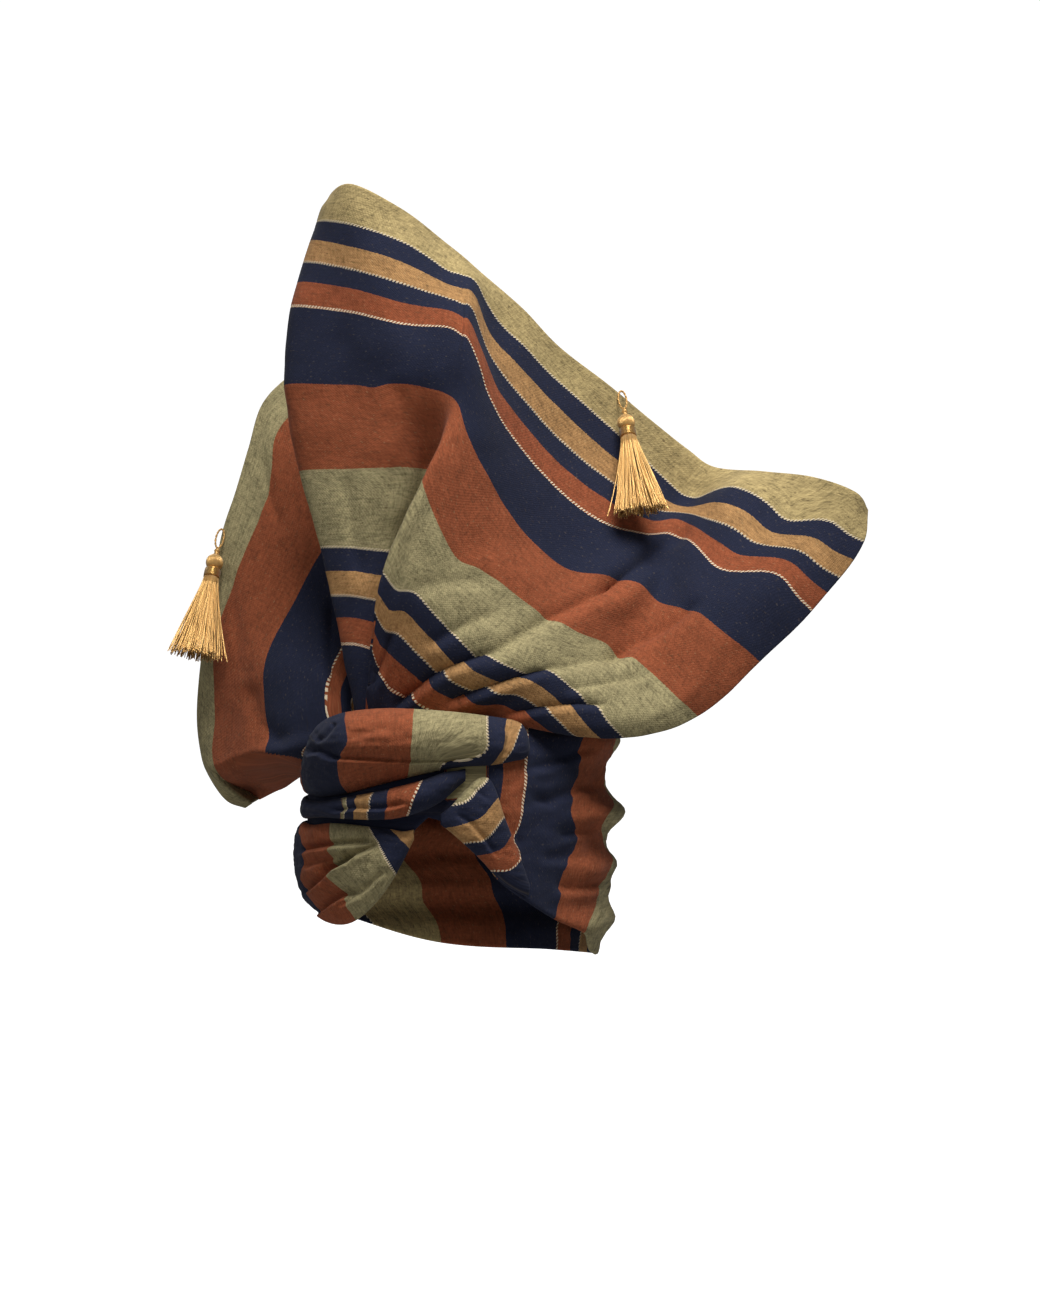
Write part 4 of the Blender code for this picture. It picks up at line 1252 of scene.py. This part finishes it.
def run_round(table):
    """Length of a roll round the wrap, in millimetres, along the middle of its rows."""
    turns, lower, upper, bulge, lift = roll_rows(table, ROLL_STATIONS)
    line = wrap_point(turns, (lower + upper) / 2 + lift / 2, bulge / 2)
    return lengths(line[:, None], 0)[-1, 0]


girth = lengths(wrap_point(np.linspace(0, 360, WRAP_TURNS), GIRTH_UP)[:, None], 0)[-1, 0]
for roll, table in (
    (upper_roll, UPPER_FOLD), (middle_roll, MIDDLE_FOLD), (lower_drape, LOWER_FOLD), (brow_roll, BROW_FOLD)
):
    run_round(table)

# %% [markdown]
# The tassels are gold silk. Each has a cord loop on the hem, a knotted stem, a round head wound with thread,
# a bright binding and a skirt of loose threads. Solids of revolution would read as plastic, so the cords
# and the skirt are made of many thin threads, which are joined into one mesh for each part.

# %% The gold threads
GOLD = (0.50, 0.26, 0.055, 1)
GOLD_PALE = (0.82, 0.51, 0.17, 1)
GOLD_DEEP = (0.26, 0.12, 0.025, 1)


def silk_material(name, roughness, metallic):
    """Silky thread: each thread has its own tone, kept in the first number of the cloth map."""
    made, tree, shader = new_material(name)
    shader.inputs["Metallic"].default_value = metallic
    shader.inputs["Sheen Weight"].default_value = 0.25
    numbers = cloth_numbers(tree)
    parts = node(tree, "ShaderNodeSeparateXYZ")
    feed(tree, parts.inputs[0], numbers)
    colour = mixed(tree, sum_of(tree, "FRACT", parts.outputs[0]), GOLD, GOLD_PALE)
    grain = noise_at(tree, numbers, 0.8, 3.0, 2.0, 0.5)
    feed(tree, shader.inputs["Base Color"], mixed(tree, times(tree, grain, 0.5), colour, GOLD_DEEP))
    feed(tree, shader.inputs["Roughness"], sum_of(tree, "MULTIPLY_ADD", grain, 0.2, roughness))
    bumped(tree, shader, grain, 0.3, 0.0001)
    return made


silk = silk_material("tassel_thread", 0.22, 0.45)
silk_binding = silk_material("tassel_binding", 0.14, 0.75)
print("silks:", silk.name, silk_binding.name)

# %% [markdown]
# A thread is a thin tube along a line. The class below lays many of them into one list of points and
# faces, with a tone for each thread, so that a whole skirt is one object.

# %% Threads as tubes
ANY_WAY = (0.31, 0.83, 0.46)


class Threads:
    """Tubes laid side by side, which become one piece."""

    def __init__(self):
        self.points, self.faces, self.places, self.count = [], [], [], 0

    def lay(self, line, radius, sides, tone):
        """Adds a tube along a line; radius may be one number or one for each point."""
        line = np.asarray(line, float)
        radius = np.broadcast_to(np.asarray(radius, float), (len(line),))
        ahead = unit(np.gradient(line, axis=0) + 1e-9)
        side = unit(np.cross(ahead, ANY_WAY))
        other = np.cross(ahead, side)
        angles = 2 * math.pi * np.arange(sides) / sides
        ring = side[:, None] * np.cos(angles)[:, None] + other[:, None] * np.sin(angles)[:, None]
        self.points.append((line[:, None] + ring * radius[:, None, None]).reshape(-1, 3))
        run = lengths(line[:, None], 0)[:, 0]
        tones = np.full(len(line) * sides, tone * 0.9 + 0.02)
        self.places.append(np.column_stack([tones, run.repeat(sides)]))
        for i in range(len(line) - 1):
            for k in range(sides):
                a = self.count + i * sides + k
                b = self.count + i * sides + (k + 1) % sides
                self.faces.append((a, b, b + sides, a + sides))
        for first in (0, (len(line) - 1) * sides):
            self.faces.append(tuple(self.count + first + k for k in range(sides)))
        self.count += len(line) * sides

    def piece(self, name, material):
        return mesh_piece(name, np.vstack(self.points), self.faces, np.vstack(self.places), material)


print("thread helper ready")

# %% [markdown]
# A tassel hangs from a point just in front of the hem and runs to where its cut end is seen. The loop is two
# strands twisted round each other, the head is a ball with thread wound up and down it, the binding is
# thread wound round and round, and the skirt is a few hundred threads that gather into locks.

# %% The tassels
FRONT_TASSEL = {"rib": 9.28, "end": (113, 111, 28)}
REAR_TASSEL = {"rib": 7.0, "end": (-158, 26, -4)}
TASSEL_FROM_HEM = 1.5
SOLID_THICKNESS = 3.2
LOOP_CORD_RADIUS = 0.7
LOOP_GAP = 0.7
LOOP_HALF_WIDTH = 2.4
LOOP_LENGTH = 10.5
LOOP_RISE = 3.0
LOOP_TWISTS = 7
LOOP_STRAND = 0.56
STEM_LENGTH = 4.6
STEM_RADIUS = 1.5
STEM_STRANDS = 5
STEM_THREAD_RADIUS = 0.62
HEAD_RADIUS = 5.2
HEAD_LENGTH = 9.6
HEAD_THREADS = 40
HEAD_THREAD_RADIUS = 0.44
BINDING_RADIUS = 5.0
BINDING_LENGTH = 6.0
BINDING_ROUNDS = 9
BINDING_THREAD_RADIUS = 0.40
SKIRT_TOP_RADIUS = 4.6
SKIRT_LENGTH = 54
SKIRT_END_HALF_WIDTH = 17.0
SKIRT_END_HALF_DEPTH = 6.6
SKIRT_LOCKS = 11
SKIRT_THREADS = 270
SKIRT_THREAD_RADIUS = 0.36
STRAY_THREADS = 2
STRAY_REACH = 1.6


def hanging_axes(lines, table, tassel):
    """Top point, downward, width and depth directions of a tassel."""
    rib = tassel["rib"] + np.array([-0.05, 0, 0.05])
    distances, stations = wing_ribs(lines, table, rib)
    at = TASSEL_FROM_HEM + np.array([-1, 0, 1])
    near = from_drawing(np.stack([through(far, line, at) for far, line in zip(distances, stations)]))
    out = sheet_normals(near)[1, 1]
    to_eye = from_drawing([0, 0, 1]) - from_drawing([0, 0, 0])
    out *= math.copysign(1, out @ to_eye)
    top = near[1, 1] + out * (SOLID_THICKNESS / 2 + LOOP_GAP + LOOP_CORD_RADIUS)
    end = from_drawing(tassel["end"])
    down = (end - top) / np.linalg.norm(end - top)
    width = np.cross(down, to_eye)
    width /= np.linalg.norm(width)
    return top, down, width, np.cross(width, down)


def make_tassel(prefix, axes, seed, stray_side):
    top, down, width, depth = axes
    draw = random.Random(seed)

    def at(distance, sideways=0.0, deep=0.0):
        return top + down * distance + width * sideways + depth * deep

    def on_ring(distance, radius, angle):
        return at(distance, radius * math.cos(angle), radius * math.sin(angle))

    # Loop: two twisted strands round a long ring.
    loop = Threads()
    for strand in (0, 1):
        line = []
        for angle in np.linspace(0, 2 * math.pi, 73):
            drop = (LOOP_LENGTH + LOOP_RISE) / 2 * (1 - math.cos(angle)) - LOOP_RISE
            outward = width * math.sin(angle) - down * math.cos(angle)
            twist = angle * LOOP_TWISTS + strand * math.pi
            off = (outward * math.cos(twist) + depth * math.sin(twist)) * LOOP_CORD_RADIUS * 0.5
            line.append(at(drop, LOOP_HALF_WIDTH * math.sin(angle)) + off)
        loop.lay(line, LOOP_CORD_RADIUS * LOOP_STRAND, 8, 0.35 + 0.3 * strand)
    made = loop.piece(f"{prefix}_cord_loop", silk)
    settle(made, f"{prefix}_loop", slot="tassel_thread")

    # Head: a knotted stem and a ball, both of thread laid side by side over a core.
    head = Threads()
    stem_start = LOOP_LENGTH + LOOP_CORD_RADIUS + GAP
    head_start = stem_start + STEM_LENGTH
    for strand in range(STEM_STRANDS):
        line = []
        for share in np.linspace(0, 1, 26):
            knot = STEM_RADIUS * (0.62 + 0.3 * math.sin(math.pi * share * 2.2) ** 2)
            drop = stem_start + (STEM_LENGTH + 1.2) * share
            line.append(on_ring(drop, knot, 2 * math.pi * strand / STEM_STRANDS + share * 6))
        head.lay(line, STEM_THREAD_RADIUS, 6, draw.random())
    for strand in range(HEAD_THREADS):
        # The head's threads keep to the paler golds, as painted highlight for the shine on the round head.
        tone = 0.60 + 0.40 * draw.random()
        line = []
        for share in np.linspace(0.02, 1, 20):
            latitude = math.pi * (0.06 + 0.80 * share)
            radius = HEAD_RADIUS * 0.97 * math.sin(latitude) ** 0.85
            drop = head_start + HEAD_LENGTH / 2 * (1 - math.cos(latitude))
            line.append(on_ring(drop, radius, 2 * math.pi * strand / HEAD_THREADS + 0.35 * share))
        head.lay(line, HEAD_THREAD_RADIUS, 5, tone)
    made = head.piece(f"{prefix}_wound_head", silk)
    settle(made, f"{prefix}_head", slot="tassel_thread")

    # Binding: one bright thread wound round and round a core.
    binding = Threads()
    binding_start = head_start + HEAD_LENGTH + GAP
    line = []
    for share in np.linspace(0, 1, BINDING_ROUNDS * 36 + 1):
        radius = BINDING_RADIUS * (0.93 + 0.03 * math.sin(math.pi * share))
        drop = binding_start + 0.45 + (BINDING_LENGTH - 0.9) * share
        line.append(on_ring(drop, radius, 2 * math.pi * BINDING_ROUNDS * share))
    binding.lay(line, BINDING_THREAD_RADIUS, 6, 0.45)
    core = [at(binding_start + x) for x in (0.1, 0.5, BINDING_LENGTH - 0.5, BINDING_LENGTH - 0.1)]
    binding.lay(core, [BINDING_RADIUS * r for r in (0.8, 0.92, 0.92, 0.8)], 24, 0.1)
    made = binding.piece(f"{prefix}_bright_binding", silk_binding)
    settle(made, f"{prefix}_binding", slot="tassel_binding")

    # Skirt: threads that start under the binding and spread into locks.
    skirt = Threads()
    start = binding_start + BINDING_LENGTH + GAP
    for strand in range(SKIRT_THREADS):
        lock = 2 * math.pi * (draw.randrange(SKIRT_LOCKS) + 0.5) / SKIRT_LOCKS
        off_lock = draw.gauss(0, 0.30)
        reach = math.sqrt(draw.uniform(0.18, 1.0))
        length = SKIRT_LENGTH * draw.uniform(0.955, 1.02)
        bow = draw.gauss(0, 0.7)
        tone = 0.05 + 0.95 * draw.random()
        line = []
        for share in np.append(np.linspace(0, 0.993, 11), 1):
            spread = share**1.15
            angle = lock + off_lock * (1 - 0.25 * share)
            half_width = SKIRT_TOP_RADIUS + (SKIRT_END_HALF_WIDTH - SKIRT_TOP_RADIUS) * spread
            half_depth = SKIRT_TOP_RADIUS + (SKIRT_END_HALF_DEPTH - SKIRT_TOP_RADIUS) * spread
            sideways = half_width * reach * math.cos(angle) + bow * math.sin(math.pi * share)
            deep = half_depth * reach * math.sin(angle)
            if strand < STRAY_THREADS:
                sideways, deep = stray_side * (half_width + (1 + strand) * STRAY_REACH * share**2), 0
            line.append(at(start + length * share, sideways, deep))
        skirt.lay(line, SKIRT_THREAD_RADIUS, 4, tone)
    made = skirt.piece(f"{prefix}_thread_skirt", silk)
    settle(made, f"{prefix}_skirt", slot="tassel_thread")


make_tassel("front_tassel", hanging_axes(FRONT_LINES, FRONT_WING, FRONT_TASSEL), 11, 1)
make_tassel("rear_tassel", hanging_axes(REAR_LINES, REAR_WING, REAR_TASSEL), 29, -1)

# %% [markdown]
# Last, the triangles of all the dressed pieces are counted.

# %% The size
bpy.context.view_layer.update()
dressed = [thing for thing in bpy.data.objects if thing.type == "MESH" and thing.get("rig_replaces")]
print("triangles in all:", sum(triangles(thing) for thing in dressed))
